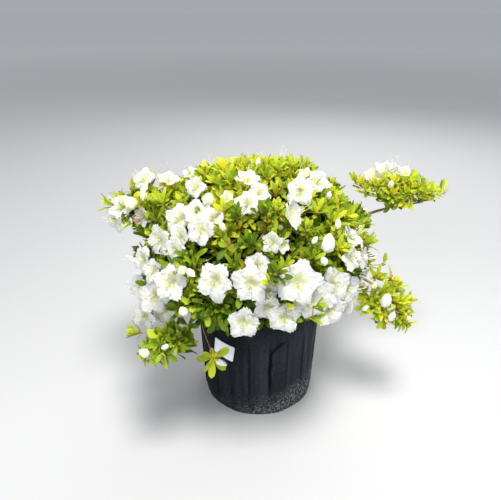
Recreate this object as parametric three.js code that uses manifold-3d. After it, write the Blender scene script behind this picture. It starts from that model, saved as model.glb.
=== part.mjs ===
// A white azalea in its black nursery pot. Millimetres, +Z up, +X to the right of the front view, and the
// front faces -Y. The origin is the middle of the pot's flat underside.
//
// The plant is a short trunk with boughs, each one tapering limb, and each bough carries one mass of foliage.
// A mass is its own twigs with leaves and flowers fused on, and it keeps to its own space between its
// neighbours. Leaves are fewer and larger than on the living shrub, which has thousands.

import * as THREE from 'three';
import { mergeVertices } from 'three/addons/utils/BufferGeometryUtils.js';
import Module from 'manifold-3d';

const wasm = await Module();
wasm.setup();

const DEGREE = Math.PI / 180;
const GOLDEN_ANGLE = Math.PI * (3 - Math.sqrt(5));
const UP = new THREE.Vector3(0, 0, 1);

// Between two solids that touch on the real thing
const GAP = 0.3;
const LIMB_GAP = 0.36;
const MERGE_DISTANCE = 1e-4;
const NEARLY_PARALLEL = 1e-9;
const NEARLY_UPRIGHT = 0.9;

// Pot: a three gallon nursery container with ten recessed panels, one of them facing the front
const POT_HEIGHT = 240;
const POT_BASE_RADIUS = 115;
const POT_TOP_RADIUS = 124.5;
const POT_WALL = 2.6;
const POT_FLOOR = 3;
const LIP_RADIUS = 130;
const LIP_HEIGHT = 14;
const LIP_THICKNESS = 6;
const PANEL_COUNT = 10;
const PANEL_HALF_ANGLE = 9 * DEGREE;
const PANEL_EDGE_ANGLE = 10.2 * DEGREE;
const PANEL_DEPTH = 2.2;
const PANEL_TOP = 196;
const PANEL_MIDDLE_OF_ROUND = 190;
const PANEL_SHOULDER = 176;
const PANEL_LEAST_WIDTH = 0.55;
const SEGMENTS_PER_PANEL = 7;

// Potting mix
const SOIL_TOP = 214;
const SOIL_SEGMENTS = 40;
const SOIL_CLEARANCE = 0.8;

// Blank label on the pot's wall, left of the front
const LABEL_WIDTH = 45;
const LABEL_HEIGHT = 37;
const LABEL_THICKNESS = 0.8;
const LABEL_AZIMUTH = -34 * DEGREE;
const LABEL_MIDDLE_HEIGHT = 154;
const LABEL_TILT = 9 * DEGREE;
const LABEL_STEPS = 8;

// Trunk, from the soil to its fork
const TRUNK_TOP = [3, 4, 262];
const TRUNK_RADII = [25, 17.5, 14, 12.5, 11.5];
const TRUNK_HEIGHTS = [0, 0.12, 0.34, 0.65, 1];
const TRUNK_SIDES = 10;

// Each bough: its name, the limb it leaves and how far along it, its tip, its radius at the root and at the
// tip, and the middle of the space that its foliage has
const BOUGHS = [
  ['leader', 'trunk', 0.9, [-4, -58, 388], [8, 3.2], [0, -75, 432]],
  ['front', 'trunk', 0.62, [0, -112, 320], [6.4, 3], [0, -182, 305]],
  ['right', 'trunk', 0.5, [128, -10, 316], [7, 3.2], [192, -12, 316]],
  ['back', 'trunk', 0.66, [4, 114, 318], [6.4, 3], [0, 182, 312]],
  ['left', 'trunk', 0.52, [-126, -8, 314], [7, 3.2], [-190, -10, 312]],
  ['crown_left', 'leader', 0.3, [-84, 4, 376], [5, 2.8], [-125, 8, 412]],
  ['crown_right', 'leader', 0.42, [88, 8, 378], [5, 2.8], [130, 12, 412]],
  ['crown_back', 'leader', 0.55, [10, 62, 388], [4.8, 2.8], [15, 88, 428]],
  ['front_left', 'left', 0.34, [-78, -96, 316], [5, 2.8], [-115, -150, 305]],
  ['front_right', 'front', 0.36, [76, -98, 318], [5, 2.8], [115, -150, 305]],
  ['back_right', 'right', 0.36, [84, 94, 318], [5, 2.8], [125, 145, 314]],
  ['back_left', 'back', 0.38, [-80, 96, 316], [5, 2.8], [-125, 145, 314]],
  ['upper_left', 'left', 0.66, [-194, -8, 388], [4, 2.4], [-238, -12, 414]],
  ['long_right', 'right', 0.6, [246, 74, 368], [4.6, 2.6], [300, 88, 396]],
  ['lower_right', 'right', 0.74, [214, -52, 268], [3.8, 2.4], [252, -62, 228]],
  ['lower_left', 'front_left', 0.6, [-150, -144, 262], [3.6, 2.2], [-168, -176, 220]],
].map(([name, from, share, tip, radii, middle]) => ({ name, from, share, tip, radii, middle }));
const BOUGH_STEPS = 5;
const BOUGH_SIDES = 6;
const BOUGH_ARCH = 0.2;
const BOUGH_BEND = 0.35;

// The crown's outline is an ellipsoid, bare underneath, with a smaller one round each outlying spray
const CROWN = { middle: [-11, 0, 335], radii: [229, 235, 157], directions: 160, lowest: -0.47 };
const SPRAYS = [
  { middle: [-230, -10, 412], radii: [68, 62, 60], directions: 12, lowest: -0.8 },
  { middle: [304, 88, 396], radii: [86, 56, 50], directions: 13, lowest: -0.7 },
  { middle: [248, -60, 232], radii: [58, 50, 60], directions: 10, lowest: -1 },
  { middle: [-165, -175, 222], radii: [62, 50, 50], directions: 10, lowest: -1 },
];
const SHOOT_DEPTH = 24;
const UNEVENNESS = 0.13;
const UNEVEN_SPREAD = 1.4;
const SHOOT_SPACING = 38;
const SEED = 20261;
const SEED_MULTIPLIER = 16807;
const SEED_MODULUS = 2147483647;

// Flower trusses that face the front: azimuth and elevation in degrees on the crown's ellipsoid, reach as a
// share of it, and flowers
const TRUSSES = [
  [-88, 23, 1.17, 2],
  [-98, 37, 1.16, 1],
  [-90, 46, 1.0, 1],
  [-44, 38, 1.0, 3],
  [-29, 39, 1.0, 2],
  [-56, 16, 1.0, 2],
  [-51, -7, 1.0, 3],
  [-50, -25, 1.05, 1],
  [-60, -16, 1.05, 2],
  [-16, 13, 1.0, 1],
  [0, 18, 1.0, 3],
  [-6, -11, 1.0, 1],
  [11, -7, 1.0, 2],
  [16, 14, 1.0, 2],
  [20, 0, 1.0, 2],
  [32, 6, 1.0, 2],
  [31, -8, 1.0, 1],
  [40, 62, 1.0, 3],
  [17, 48, 1.0, 1],
  [7, 33, 1.0, 1],
  [29, 30, 1.0, 1],
  [49, 29, 1.0, 1],
  [47, 17, 1.0, 1],
  [-78, 58, 1.0, 1],
  [-19, 54, 1.0, 1],
  [-14, 67, 1.0, 1],
  [108, 26, 1.34, 2],
  [107, 22, 1.49, 1],
];
// Behind, where no truss is given, this share of the shoots flowers
const BLOOM_SHARE = 0.3;
const BLOOM_FROM_Y = 20;

// One sprig hangs below the crown in front of the pot
const HANGING_SPRIG = [-82, -172, 178];

// Twigs
const STEM_LENGTH = 12;
const TWIG_SIDES = 3;
const TWIG_STEP = 60;
const TWIG_RADIUS = 1.2;
const TWIG_JOIN_POWER = 2.4;
const RUN_WEIGHT = 0.4;
const TURN_WEIGHT = 0.3;
const SWAY = 0.35;

// Leaves and flowers
const LEAVES_PER_SHOOT = 3;
const LEAVES_PER_TRUSS = 2;
const LEAF_LENGTH = 58;
const LEAF_WIDTH = 34;
const LEAF_THICKNESS = 3;
const LEAF_BELLY = 0.56;
const LEAF_LEAN = 64 * DEGREE;
const LEAF_LEAN_STEP = 0.12;
const LEAF_FIRST_BACK = 3;
const LEAF_SPACING = 7;
const LEAF_LAST_BACK = 0.85;
const LEAF_SHRINK = 0.06;
const LEAF_TURN = 1.7;
const LEAF_CLEAR_FROM = 0.1;
const FLOWER_POINTS = 5;
const FLOWER_RADIUS = 31;
const FLOWER_NOTCH = 0.66;
const FLOWER_LENGTH = 28;
const THROAT_DEPTH = 18;
const FLOWER_SPLAY = 40 * DEGREE;
const FLOWER_SINK = 2;
const FLOWER_TURN = 0.9;
const FLOWER_CLEAR_FROM = 0.3;
const FLOWER_CLEAR_WIDTH = 0.8;
const SMALLEST_FLOWER = 0.6;

// Room that each mass leaves to its neighbours and limbs, and how deep in its space a shoot ends
const MARGIN = 0.6;
const SHOOT_ROOM = 8;
const TRUSS_ROOM = 22;
const LEAF_TRIES = 4;
const POT_SAMPLES = 4;

const material = (color, roughness) => new THREE.MeshStandardMaterial({ color, roughness, metalness: 0 });
const MATERIALS = {
  pot: material(0x1b1d20, 0.62),
  soil: material(0x3a281c, 0.95),
  label: material(0xe4e7ee, 0.6),
  bark: material(0x6e5542, 0.9),
  foliage: material(0x86a832, 0.6),
};

const vector = (values) => new THREE.Vector3(...values);

// Numbers from 0 to 1 that are the same on every run
function seeded(seed) {
  let state = seed;
  return () => {
    state = (state * SEED_MULTIPLIER) % SEED_MODULUS;
    return state / SEED_MODULUS;
  };
}

// A closed geometry as a solid that can be joined and cut
function solidOf(geometry) {
  const bare = geometry.clone();
  for (const name of Object.keys(bare.attributes)) {
    if (name !== 'position') bare.deleteAttribute(name);
  }
  const merged = mergeVertices(bare, MERGE_DISTANCE);
  const index = merged.index.array;
  const corners = [];
  for (let i = 0; i < index.length; i += 3) {
    const [a, b, c] = [index[i], index[i + 1], index[i + 2]];
    if (a !== b && b !== c && c !== a) corners.push(a, b, c);
  }
  const vertProperties = Float32Array.from(merged.attributes.position.array);
  const triVerts = Uint32Array.from(corners);
  return new wasm.Manifold(new wasm.Mesh({ numProp: 3, vertProperties, triVerts }));
}

function geometryOf(solid) {
  const { vertProperties, triVerts } = solid.getMesh();
  const geometry = new THREE.BufferGeometry();
  geometry.setAttribute('position', new THREE.BufferAttribute(Float32Array.from(vertProperties), 3));
  geometry.setIndex(new THREE.BufferAttribute(Uint32Array.from(triVerts), 1));
  geometry.computeVertexNormals();
  return geometry;
}

function largestPart(solid) {
  const parts = solid.decompose();
  return parts.reduce((best, part) => (part.volume() > best.volume() ? part : best));
}

function partMesh(name, geometry, finish) {
  const mesh = new THREE.Mesh(geometry, finish);
  mesh.name = name;
  return mesh;
}

// A cylinder whose rings are carried onto a path, with its own radius at each point
function taperedTube(path, radii, sides) {
  const geometry = new THREE.CylinderGeometry(1, 1, 1, sides, path.length - 1);
  const frames = [];
  let across = null;
  path.forEach((point, i) => {
    const before = path[Math.max(i - 1, 0)];
    const after = path[Math.min(i + 1, path.length - 1)];
    const along = after.clone().sub(before).normalize();
    const previous = across ?? (Math.abs(along.z) > NEARLY_UPRIGHT ? new THREE.Vector3(1, 0, 0) : UP);
    across = previous.clone().addScaledVector(along, -previous.dot(along)).normalize();
    frames.push([across, along.clone().cross(across)]);
  });
  const position = geometry.attributes.position;
  for (let i = 0; i < position.count; i++) {
    const ring = Math.round((position.getY(i) + 0.5) * (path.length - 1));
    const [first, second] = frames[ring];
    const place = path[ring].clone();
    place.addScaledVector(first, position.getZ(i) * radii[ring]);
    place.addScaledVector(second, position.getX(i) * radii[ring]);
    position.setXYZ(i, place.x, place.y, place.z);
  }
  return geometry;
}

const potRadius = (height) => THREE.MathUtils.lerp(POT_BASE_RADIUS, POT_TOP_RADIUS, height / POT_HEIGHT);

// How much of its full width a panel has at a height: its top is rounded
function panelWidth(height) {
  if (height <= PANEL_SHOULDER) return 1;
  const rise = Math.min((height - PANEL_SHOULDER) / (PANEL_TOP - PANEL_SHOULDER), 1);
  return Math.max(Math.sqrt(1 - rise * rise), PANEL_LEAST_WIDTH);
}

function potGeometry() {
  const lipBottom = POT_HEIGHT - LIP_HEIGHT;
  const innerShoulder = PANEL_SHOULDER - POT_WALL;
  const inner = (height) => potRadius(height) - POT_WALL;
  const profile = [
    [0, 0],
    [POT_BASE_RADIUS, 0],
    [potRadius(PANEL_SHOULDER), PANEL_SHOULDER],
    [potRadius(PANEL_MIDDLE_OF_ROUND), PANEL_MIDDLE_OF_ROUND],
    [potRadius(PANEL_TOP), PANEL_TOP],
    [potRadius(lipBottom), lipBottom],
    [LIP_RADIUS, lipBottom],
    [LIP_RADIUS, POT_HEIGHT],
    [LIP_RADIUS - LIP_THICKNESS, POT_HEIGHT],
    [inner(PANEL_TOP), PANEL_TOP],
    [inner(innerShoulder), innerShoulder],
    [inner(POT_FLOOR), POT_FLOOR],
    [0, POT_FLOOR],
  ].map(([radius, height]) => new THREE.Vector2(radius, height));
  const geometry = new THREE.LatheGeometry(profile, PANEL_COUNT * SEGMENTS_PER_PANEL);
  geometry.rotateX(Math.PI / 2);

  const position = geometry.attributes.position;
  const pitch = (2 * Math.PI) / PANEL_COUNT;
  const step = pitch / SEGMENTS_PER_PANEL;
  for (let i = 0; i < position.count; i++) {
    const height = position.getZ(i);
    const radius = Math.hypot(position.getX(i), position.getY(i));
    const onWall = radius > MERGE_DISTANCE && height < PANEL_TOP + MERGE_DISTANCE;
    if (!onWall) continue;
    const turn = Math.atan2(position.getX(i), -position.getY(i));
    const panel = pitch * Math.round(turn / pitch);
    const place = Math.round((turn - panel) / step);
    const side = Math.sign(place);
    let angle = turn;
    let depth = 0;
    if (Math.abs(place) <= 1) {
      angle = panel + side * PANEL_HALF_ANGLE * panelWidth(height);
      depth = height < PANEL_TOP - MERGE_DISTANCE ? PANEL_DEPTH : 0;
    } else if (Math.abs(place) === 2) {
      angle = panel + side * PANEL_EDGE_ANGLE * panelWidth(height);
    }
    position.setX(i, (radius - depth) * Math.sin(angle));
    position.setY(i, -(radius - depth) * Math.cos(angle));
  }
  return geometryOf(solidOf(geometry));
}

function soilGeometry() {
  const bottom = POT_FLOOR + GAP;
  const radius = (height) => potRadius(height) - POT_WALL - PANEL_DEPTH - SOIL_CLEARANCE;
  const profile = [
    [0, bottom],
    [radius(bottom), bottom],
    [radius(SOIL_TOP), SOIL_TOP],
    [0, SOIL_TOP],
  ].map(([across, height]) => new THREE.Vector2(across, height));
  const geometry = new THREE.LatheGeometry(profile, SOIL_SEGMENTS);
  geometry.rotateX(Math.PI / 2);
  return geometryOf(solidOf(geometry));
}

// The label is bent round the pot's wall
function labelGeometry() {
  const geometry = new THREE.BoxGeometry(LABEL_WIDTH, LABEL_HEIGHT, LABEL_THICKNESS, LABEL_STEPS, 1, 1);
  geometry.rotateZ(-LABEL_TILT);
  const position = geometry.attributes.position;
  for (let i = 0; i < position.count; i++) {
    const height = LABEL_MIDDLE_HEIGHT + position.getY(i);
    const wall = potRadius(height);
    const angle = LABEL_AZIMUTH + position.getX(i) / wall;
    const radius = wall + GAP + LABEL_THICKNESS / 2 + position.getZ(i);
    position.setXYZ(i, radius * Math.sin(angle), -radius * Math.cos(angle), height);
  }
  return geometryOf(solidOf(geometry));
}

// Every limb's centre line and radii, the trunk's first
function limbPaths() {
  const foot = new THREE.Vector3(0, 0, SOIL_TOP + GAP);
  const fork = vector(TRUNK_TOP);
  const trunkPath = TRUNK_HEIGHTS.map((share) => {
    const lean = share * share;
    return new THREE.Vector3(fork.x * lean, fork.y * lean, THREE.MathUtils.lerp(foot.z, fork.z, share));
  });
  const limbs = { trunk: { path: trunkPath, radii: TRUNK_RADII } };
  for (const bough of BOUGHS) {
    const start = alongPath(limbs[bough.from].path, bough.share);
    const tip = vector(bough.tip);
    const reach = start.distanceTo(tip);
    const bend = start.clone().lerp(tip, BOUGH_BEND).addScaledVector(UP, BOUGH_ARCH * reach);
    const path = new THREE.QuadraticBezierCurve3(start, bend, tip).getPoints(BOUGH_STEPS);
    const radii = path.map((_, i) => THREE.MathUtils.lerp(bough.radii[0], bough.radii[1], i / BOUGH_STEPS));
    limbs[bough.name] = { path, radii };
  }
  return limbs;
}

function alongPath(path, share) {
  const at = share * (path.length - 1);
  const step = Math.min(Math.floor(at), path.length - 2);
  return path[step].clone().lerp(path[step + 1], at - step);
}

// Each limb is cut clear of the limbs made before it, so that its root is seated against its parent
function limbSolids(limbs) {
  const solids = {};
  const swollen = [];
  for (const [name, { path, radii }] of Object.entries(limbs)) {
    const sides = name === 'trunk' ? TRUNK_SIDES : BOUGH_SIDES;
    let solid = solidOf(taperedTube(path, radii, sides));
    for (const other of swollen) solid = solid.subtract(other);
    solids[name] = largestPart(solid);
    const ends = [path[0].clone(), path[path.length - 1].clone()];
    const first = path[0].clone().sub(path[1]).setLength(GAP);
    const last = path[path.length - 1].clone().sub(path[path.length - 2]).setLength(GAP);
    const longer = [ends[0].add(first), ...path.slice(1, -1), ends[1].add(last)];
    const wider = radii.map((radius) => radius + LIMB_GAP);
    swollen.push(solidOf(taperedTube(longer, wider, sides)));
  }
  return solids;
}

// The middle of a shape's shoots: directions spread evenly over an ellipsoid, with an uneven reach
function shootsOn(shape, random) {
  const middle = vector(shape.middle);
  const radii = vector(shape.radii).subScalar(SHOOT_DEPTH);
  const shoots = [];
  for (let i = 0; i < shape.directions; i++) {
    const height = 1 - (2 * i + 1) / shape.directions;
    const reach = 1 - UNEVENNESS + UNEVENNESS * UNEVEN_SPREAD * random();
    const bloom = random() < BLOOM_SHARE;
    if (height < shape.lowest) continue;
    const flat = Math.sqrt(1 - height * height);
    const turn = i * GOLDEN_ANGLE;
    const place = new THREE.Vector3(flat * Math.sin(turn), -flat * Math.cos(turn), height);
    place.multiply(radii).multiplyScalar(reach).add(middle);
    const behind = place.y > Math.max(BLOOM_FROM_Y, place.z - CROWN.middle[2]);
    shoots.push({ place, flowers: bloom && behind ? 1 : 0 });
  }
  return shoots;
}

// A truss's shoot ends a flower's length inside the place where the flower shows
function trussShoot([azimuth, elevation, reach, flowers]) {
  const turn = azimuth * DEGREE;
  const rise = elevation * DEGREE;
  const flat = Math.cos(rise);
  const outward = new THREE.Vector3(flat * Math.sin(turn), -flat * Math.cos(turn), Math.sin(rise));
  const radii = vector(CROWN.radii).multiplyScalar(reach).subScalar(SHOOT_DEPTH);
  return { place: outward.multiply(radii).add(vector(CROWN.middle)), flowers };
}

function allShoots() {
  const random = seeded(SEED);
  const shoots = TRUSSES.map(trussShoot);
  shoots.push({ place: vector(HANGING_SPRIG), flowers: 0 });
  for (const shape of [...SPRAYS, CROWN]) {
    for (const shoot of shootsOn(shape, random)) {
      const near = shoots.some((other) => other.place.distanceTo(shoot.place) < SHOOT_SPACING);
      if (!near) shoots.push(shoot);
    }
  }
  return shoots;
}

// How far a point lies on the owner's side of the plane midway between two masses
function depthTowards(point, owner, other) {
  const own = vector(owner.middle);
  const others = vector(other.middle);
  return (point.distanceToSquared(others) - point.distanceToSquared(own)) / (2 * own.distanceTo(others));
}

function depthInSpace(point, owner) {
  const others = BOUGHS.filter((other) => other !== owner);
  return Math.min(...others.map((other) => depthTowards(point, owner, other)));
}

// Moves a shoot's end back from the planes that bound its mass
function keepIn(shoot, owner) {
  const room = shoot.flowers > 0 ? TRUSS_ROOM : SHOOT_ROOM;
  const place = shoot.place.clone();
  for (const other of BOUGHS) {
    if (other === owner) continue;
    const short = room - depthTowards(place, owner, other);
    const inward = vector(owner.middle).sub(vector(other.middle)).normalize();
    if (short > 0) place.addScaledVector(inward, short);
  }
  return { ...shoot, place };
}

function segmentDistance(a, b, c, d) {
  const u = b.clone().sub(a);
  const v = d.clone().sub(c);
  const w = a.clone().sub(c);
  const [uu, uv, vv, uw, vw] = [u.dot(u), u.dot(v), v.dot(v), u.dot(w), v.dot(w)];
  const limit = (value) => Math.min(Math.max(value, 0), 1);
  const spread = uu * vv - uv * uv;
  const s = spread > NEARLY_PARALLEL ? limit((uv * vw - vv * uw) / spread) : 0;
  const t = limit((uv * s + vw) / vv);
  const again = limit((uv * t - uw) / uu);
  return a.clone().lerp(b, again).distanceTo(c.clone().lerp(d, t));
}

// Whether a rod from a to b stands clear of every limb, the pot and the soil
function clearOfRest(a, b, radius, limbs) {
  for (const { path, radii } of Object.values(limbs)) {
    for (let i = 0; i + 1 < path.length; i++) {
      const room = radius + Math.max(radii[i], radii[i + 1]) + MARGIN;
      if (segmentDistance(a, b, path[i], path[i + 1]) < room) return false;
    }
  }
  for (let i = 0; i <= POT_SAMPLES; i++) {
    const point = a.clone().lerp(b, i / POT_SAMPLES);
    const out = Math.hypot(point.x, point.y);
    const room = radius + 2 * MARGIN;
    const above = point.z > POT_HEIGHT + room;
    const outside = out > LIP_RADIUS + room;
    const inside = out < LIP_RADIUS - LIP_THICKNESS - room && point.z > SOIL_TOP + room;
    if (!above && !outside && !inside) return false;
  }
  return true;
}

// Twigs branch from one stem. The nearer shoots come first, and each shoot's twig leaves the grown twigs
// where that makes its own length, its way back to the stem and its turn small.
function growTwigs(bough, limbs, shoots) {
  const { path } = limbs[bough.name];
  const heading = path[path.length - 1].clone().sub(path[path.length - 2]).normalize();
  const foot = path[path.length - 1].clone().addScaledVector(heading, GAP);
  const top = foot.clone().addScaledVector(heading, STEM_LENGTH);
  const nodes = [
    { place: foot, way: heading, run: 0, parent: -1 },
    { place: top, way: heading, run: STEM_LENGTH, parent: 0 },
  ];
  const twigs = [{ line: [0, 1], shoot: null }];
  const nearestFirst = [...shoots].sort((p, q) => p.place.distanceTo(top) - q.place.distanceTo(top));
  for (const shoot of nearestFirst) {
    let start = -1;
    let least = Infinity;
    nodes.forEach((node, i) => {
      if (i === 0) return;
      const way = shoot.place.clone().sub(node.place);
      const length = way.length();
      const turn = 1 - node.way.dot(way) / Math.max(length, 1);
      const cost = length * (1 + TURN_WEIGHT * turn) + RUN_WEIGHT * node.run;
      if (cost < least) [least, start] = [cost, i];
    });
    const from = nodes[start];
    const length = from.place.distanceTo(shoot.place);
    const bend = from.place.clone().addScaledVector(from.way, SWAY * length);
    const curve = new THREE.QuadraticBezierCurve3(from.place, bend, shoot.place);
    const points = curve.getPoints(Math.max(Math.round(length / TWIG_STEP), 1));
    const fits = points.every((point, i) => {
      if (depthInSpace(point, bough) < 3 * TWIG_RADIUS + MARGIN) return false;
      return i === 0 || clearOfRest(points[i - 1], point, 2 * TWIG_RADIUS, limbs);
    });
    if (!fits) continue;
    const line = [start];
    points.slice(1).forEach((place, i) => {
      const step = place.distanceTo(points[i]);
      const way = place.clone().sub(points[i]).normalize();
      const parent = line[line.length - 1];
      nodes.push({ place, way, run: nodes[parent].run + step, parent });
      line.push(nodes.length - 1);
    });
    twigs.push({ line, shoot });
  }
  thicken(nodes, bough.radii[1]);
  return { nodes, twigs };
}

// A twig is as thick as the twigs that leave it need, and no thicker than the bough's tip
function thicken(nodes, most) {
  const load = nodes.map(() => 0);
  for (let i = nodes.length - 1; i >= 0; i--) {
    if (load[i] === 0) load[i] = TWIG_RADIUS ** TWIG_JOIN_POWER;
    nodes[i].radius = Math.min(load[i] ** (1 / TWIG_JOIN_POWER), most);
    if (nodes[i].parent >= 0) load[nodes[i].parent] += load[i];
  }
}

function twigGeometry(nodes, line) {
  const path = line.map((i) => nodes[i].place);
  const radii = line.map((i) => nodes[i].radius);
  if (line[0] > 0) radii[0] = radii[1];
  return taperedTube(path, radii, TWIG_SIDES);
}

// Any direction square to a given one, turned about it
function squareTo(way, turn) {
  const helper = Math.abs(way.z) < NEARLY_UPRIGHT ? UP : new THREE.Vector3(1, 0, 0);
  const first = helper.clone().cross(way).normalize();
  return first.applyAxisAngle(way, turn);
}

// A leaf is an octahedron stretched from its root to its tip, widest past the middle
function leafSolid(root, way, face, size) {
  const geometry = new THREE.OctahedronGeometry(1, 0);
  const across = way.clone().cross(face).normalize();
  const blade = face.clone().addScaledVector(way, -face.dot(way)).normalize();
  const position = geometry.attributes.position;
  for (let i = 0; i < position.count; i++) {
    const along = position.getY(i);
    const share = Math.abs(along) < 0.5 ? LEAF_BELLY : (1 + along) / 2;
    const place = root.clone().addScaledVector(way, share * LEAF_LENGTH * size);
    place.addScaledVector(across, (position.getX(i) * LEAF_WIDTH * size) / 2);
    place.addScaledVector(blade, (position.getZ(i) * LEAF_THICKNESS) / 2);
    position.setXYZ(i, place.x, place.y, place.z);
  }
  return solidOf(geometry);
}

// A flower is a five-pointed funnel, its narrow end on the twig
function flowerSolid(foot, way, turn, size) {
  const profile = [
    [0, 0],
    [FLOWER_RADIUS, FLOWER_LENGTH],
    [0, FLOWER_LENGTH - THROAT_DEPTH],
  ].map(([radius, height]) => new THREE.Vector2(radius * size, height * size));
  const geometry = new THREE.LatheGeometry(profile, 2 * FLOWER_POINTS);
  const position = geometry.attributes.position;
  const first = squareTo(way, turn);
  const second = way.clone().cross(first);
  for (let i = 0; i < position.count; i++) {
    const spoke = Math.round((Math.atan2(position.getX(i), position.getZ(i)) * FLOWER_POINTS) / Math.PI);
    const scale = spoke % 2 === 0 ? 1 : FLOWER_NOTCH;
    const place = foot.clone().addScaledVector(way, position.getY(i));
    place.addScaledVector(first, position.getZ(i) * scale);
    place.addScaledVector(second, position.getX(i) * scale);
    position.setXYZ(i, place.x, place.y, place.z);
  }
  return solidOf(geometry);
}

function outwardAt(place) {
  const radii = vector(CROWN.radii);
  return place.clone().sub(vector(CROWN.middle)).divide(radii).divide(radii).normalize();
}

// A direction leaned over towards a spoke square to it
function leaned(way, spoke, lean) {
  return way.clone().multiplyScalar(Math.cos(lean)).addScaledVector(spoke, Math.sin(lean));
}

// Flowers stand on the end of their shoot and face out of the crown, turned apart where there are several
function addFlowers(pieces, bough, limbs, end, flowers, number) {
  const outward = outwardAt(end.place);
  for (let k = 0; k < flowers; k++) {
    const spoke = squareTo(outward, number + (k * 2 * Math.PI) / flowers);
    const way = leaned(outward, spoke, flowers > 1 ? FLOWER_SPLAY : 0);
    const foot = end.place.clone().addScaledVector(way, -FLOWER_SINK);
    const rim = foot.clone().addScaledVector(way, FLOWER_LENGTH);
    const size = Math.min((depthInSpace(rim, bough) - MARGIN) / FLOWER_RADIUS, 1);
    const ahead = foot.clone().lerp(rim, FLOWER_CLEAR_FROM);
    const width = FLOWER_RADIUS * size * FLOWER_CLEAR_WIDTH;
    if (size < SMALLEST_FLOWER || !clearOfRest(ahead, rim, width, limbs)) continue;
    pieces.push(flowerSolid(foot, way, number * FLOWER_TURN + k, size));
  }
}

// Leaves stand round the end of their shoot. One that would leave the space, touch a limb or cross a leaf or
// flower is turned further round, and is left out where no turn fits.
function addLeaves(pieces, bough, limbs, end, before, leaves, number) {
  const length = end.place.distanceTo(before.place);
  let turn = number * LEAF_TURN;
  for (let k = 0; k < leaves; k++) {
    const back = Math.min(LEAF_FIRST_BACK + k * LEAF_SPACING, LEAF_LAST_BACK * length);
    const root = end.place.clone().addScaledVector(end.way, -back);
    const size = 1 - LEAF_SHRINK * k;
    const half = (LEAF_WIDTH * size) / 2;
    for (let tried = 0; tried < LEAF_TRIES; tried++) {
      turn += GOLDEN_ANGLE;
      const way = leaned(end.way, squareTo(end.way, turn), LEAF_LEAN + LEAF_LEAN_STEP * k);
      const tip = root.clone().addScaledVector(way, LEAF_LENGTH * size);
      const belly = root.clone().lerp(tip, LEAF_BELLY);
      if (depthInSpace(tip, bough) < MARGIN || depthInSpace(belly, bough) < half + MARGIN) continue;
      if (!clearOfRest(root.clone().lerp(tip, LEAF_CLEAR_FROM), tip, half, limbs)) continue;
      const leaf = leafSolid(root, way, end.way, size);
      if (pieces.some((piece) => !piece.intersect(leaf).isEmpty())) continue;
      pieces.push(leaf);
      break;
    }
  }
}

function massSolid(bough, limbs, shoots) {
  const { nodes, twigs } = growTwigs(bough, limbs, shoots);
  const wood = twigs.map(({ line }) => solidOf(twigGeometry(nodes, line)));
  const pieces = [];
  const ends = twigs.filter(({ shoot }) => shoot).map(({ line, shoot }) => ({
    end: nodes[line[line.length - 1]],
    before: nodes[line[line.length - 2]],
    flowers: shoot.flowers,
  }));
  ends.forEach(({ end, flowers }, number) => addFlowers(pieces, bough, limbs, end, flowers, number));
  ends.forEach(({ end, before, flowers }, number) => {
    const leaves = flowers > 0 ? LEAVES_PER_TRUSS : LEAVES_PER_SHOOT;
    addLeaves(pieces, bough, limbs, end, before, leaves, number);
  });
  return largestPart(wasm.Manifold.union([...wood, ...pieces]));
}

const azalea = new THREE.Group();
azalea.add(partMesh('pot', potGeometry(), MATERIALS.pot));
azalea.add(partMesh('soil', soilGeometry(), MATERIALS.soil));
azalea.add(partMesh('label', labelGeometry(), MATERIALS.label));

const limbs = limbPaths();
for (const [name, solid] of Object.entries(limbSolids(limbs))) {
  const nodeName = name === 'trunk' ? name : `bough_${name}`;
  azalea.add(partMesh(nodeName, geometryOf(solid), MATERIALS.bark));
}

const shoots = allShoots();
for (const bough of BOUGHS) {
  const own = shoots.filter(({ place }) => depthInSpace(place, bough) > 0);
  const kept = own.map((shoot) => keepIn(shoot, bough));
  const solid = massSolid(bough, limbs, kept);
  azalea.add(partMesh(`foliage_${bough.name}`, geometryOf(solid), MATERIALS.foliage));
}

export default azalea;
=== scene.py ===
"""The looks of a white azalea in its black nursery pot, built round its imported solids.

The plant grows here by the same rule and from the same sizes as its solids, in millimetres, and is carried on
to finer twigs. Points become metres when a piece is made. +Z is up and the front faces -Y.
"""

import math

import bpy
import numpy as np
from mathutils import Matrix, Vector, noise


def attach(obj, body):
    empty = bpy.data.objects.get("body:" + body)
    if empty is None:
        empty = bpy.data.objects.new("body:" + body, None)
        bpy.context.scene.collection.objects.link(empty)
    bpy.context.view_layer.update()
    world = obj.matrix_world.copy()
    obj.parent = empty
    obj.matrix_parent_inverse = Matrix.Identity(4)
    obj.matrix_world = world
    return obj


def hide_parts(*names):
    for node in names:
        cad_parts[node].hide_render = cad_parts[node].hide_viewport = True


MM = 0.001
FULL_TURN = 2 * math.pi
GOLDEN_ANGLE = math.pi * (3 - math.sqrt(5))
UP = np.array([0.0, 0.0, 1.0])
ACROSS = np.array([1.0, 0.0, 0.0])

# A direction whose height is more than this is square to ACROSS rather than to UP
NEARLY_UPRIGHT = 0.9
NEARLY_PARALLEL = 1e-9
SEED = 20261
SEED_MULTIPLIER = 16807
SEED_MODULUS = 2147483647
# A turn in radians dealt out at random
ANY_TURN = 6

# Camera, at the photograph's place in metres. Its focal length is a share of the picture's width, and its
# tilt is in degrees from straight down
CAMERA_PLACE = (-0.017, -0.842, 0.748)
CAMERA_FOCUS = 490 / 501
CAMERA_TILT = 62.8
CAMERA_SENSOR = 36
PICTURE = (501, 500)
CAMERA_DIP = math.radians(90 - CAMERA_TILT)
CAMERA_POINT = np.array(CAMERA_PLACE) / MM

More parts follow.
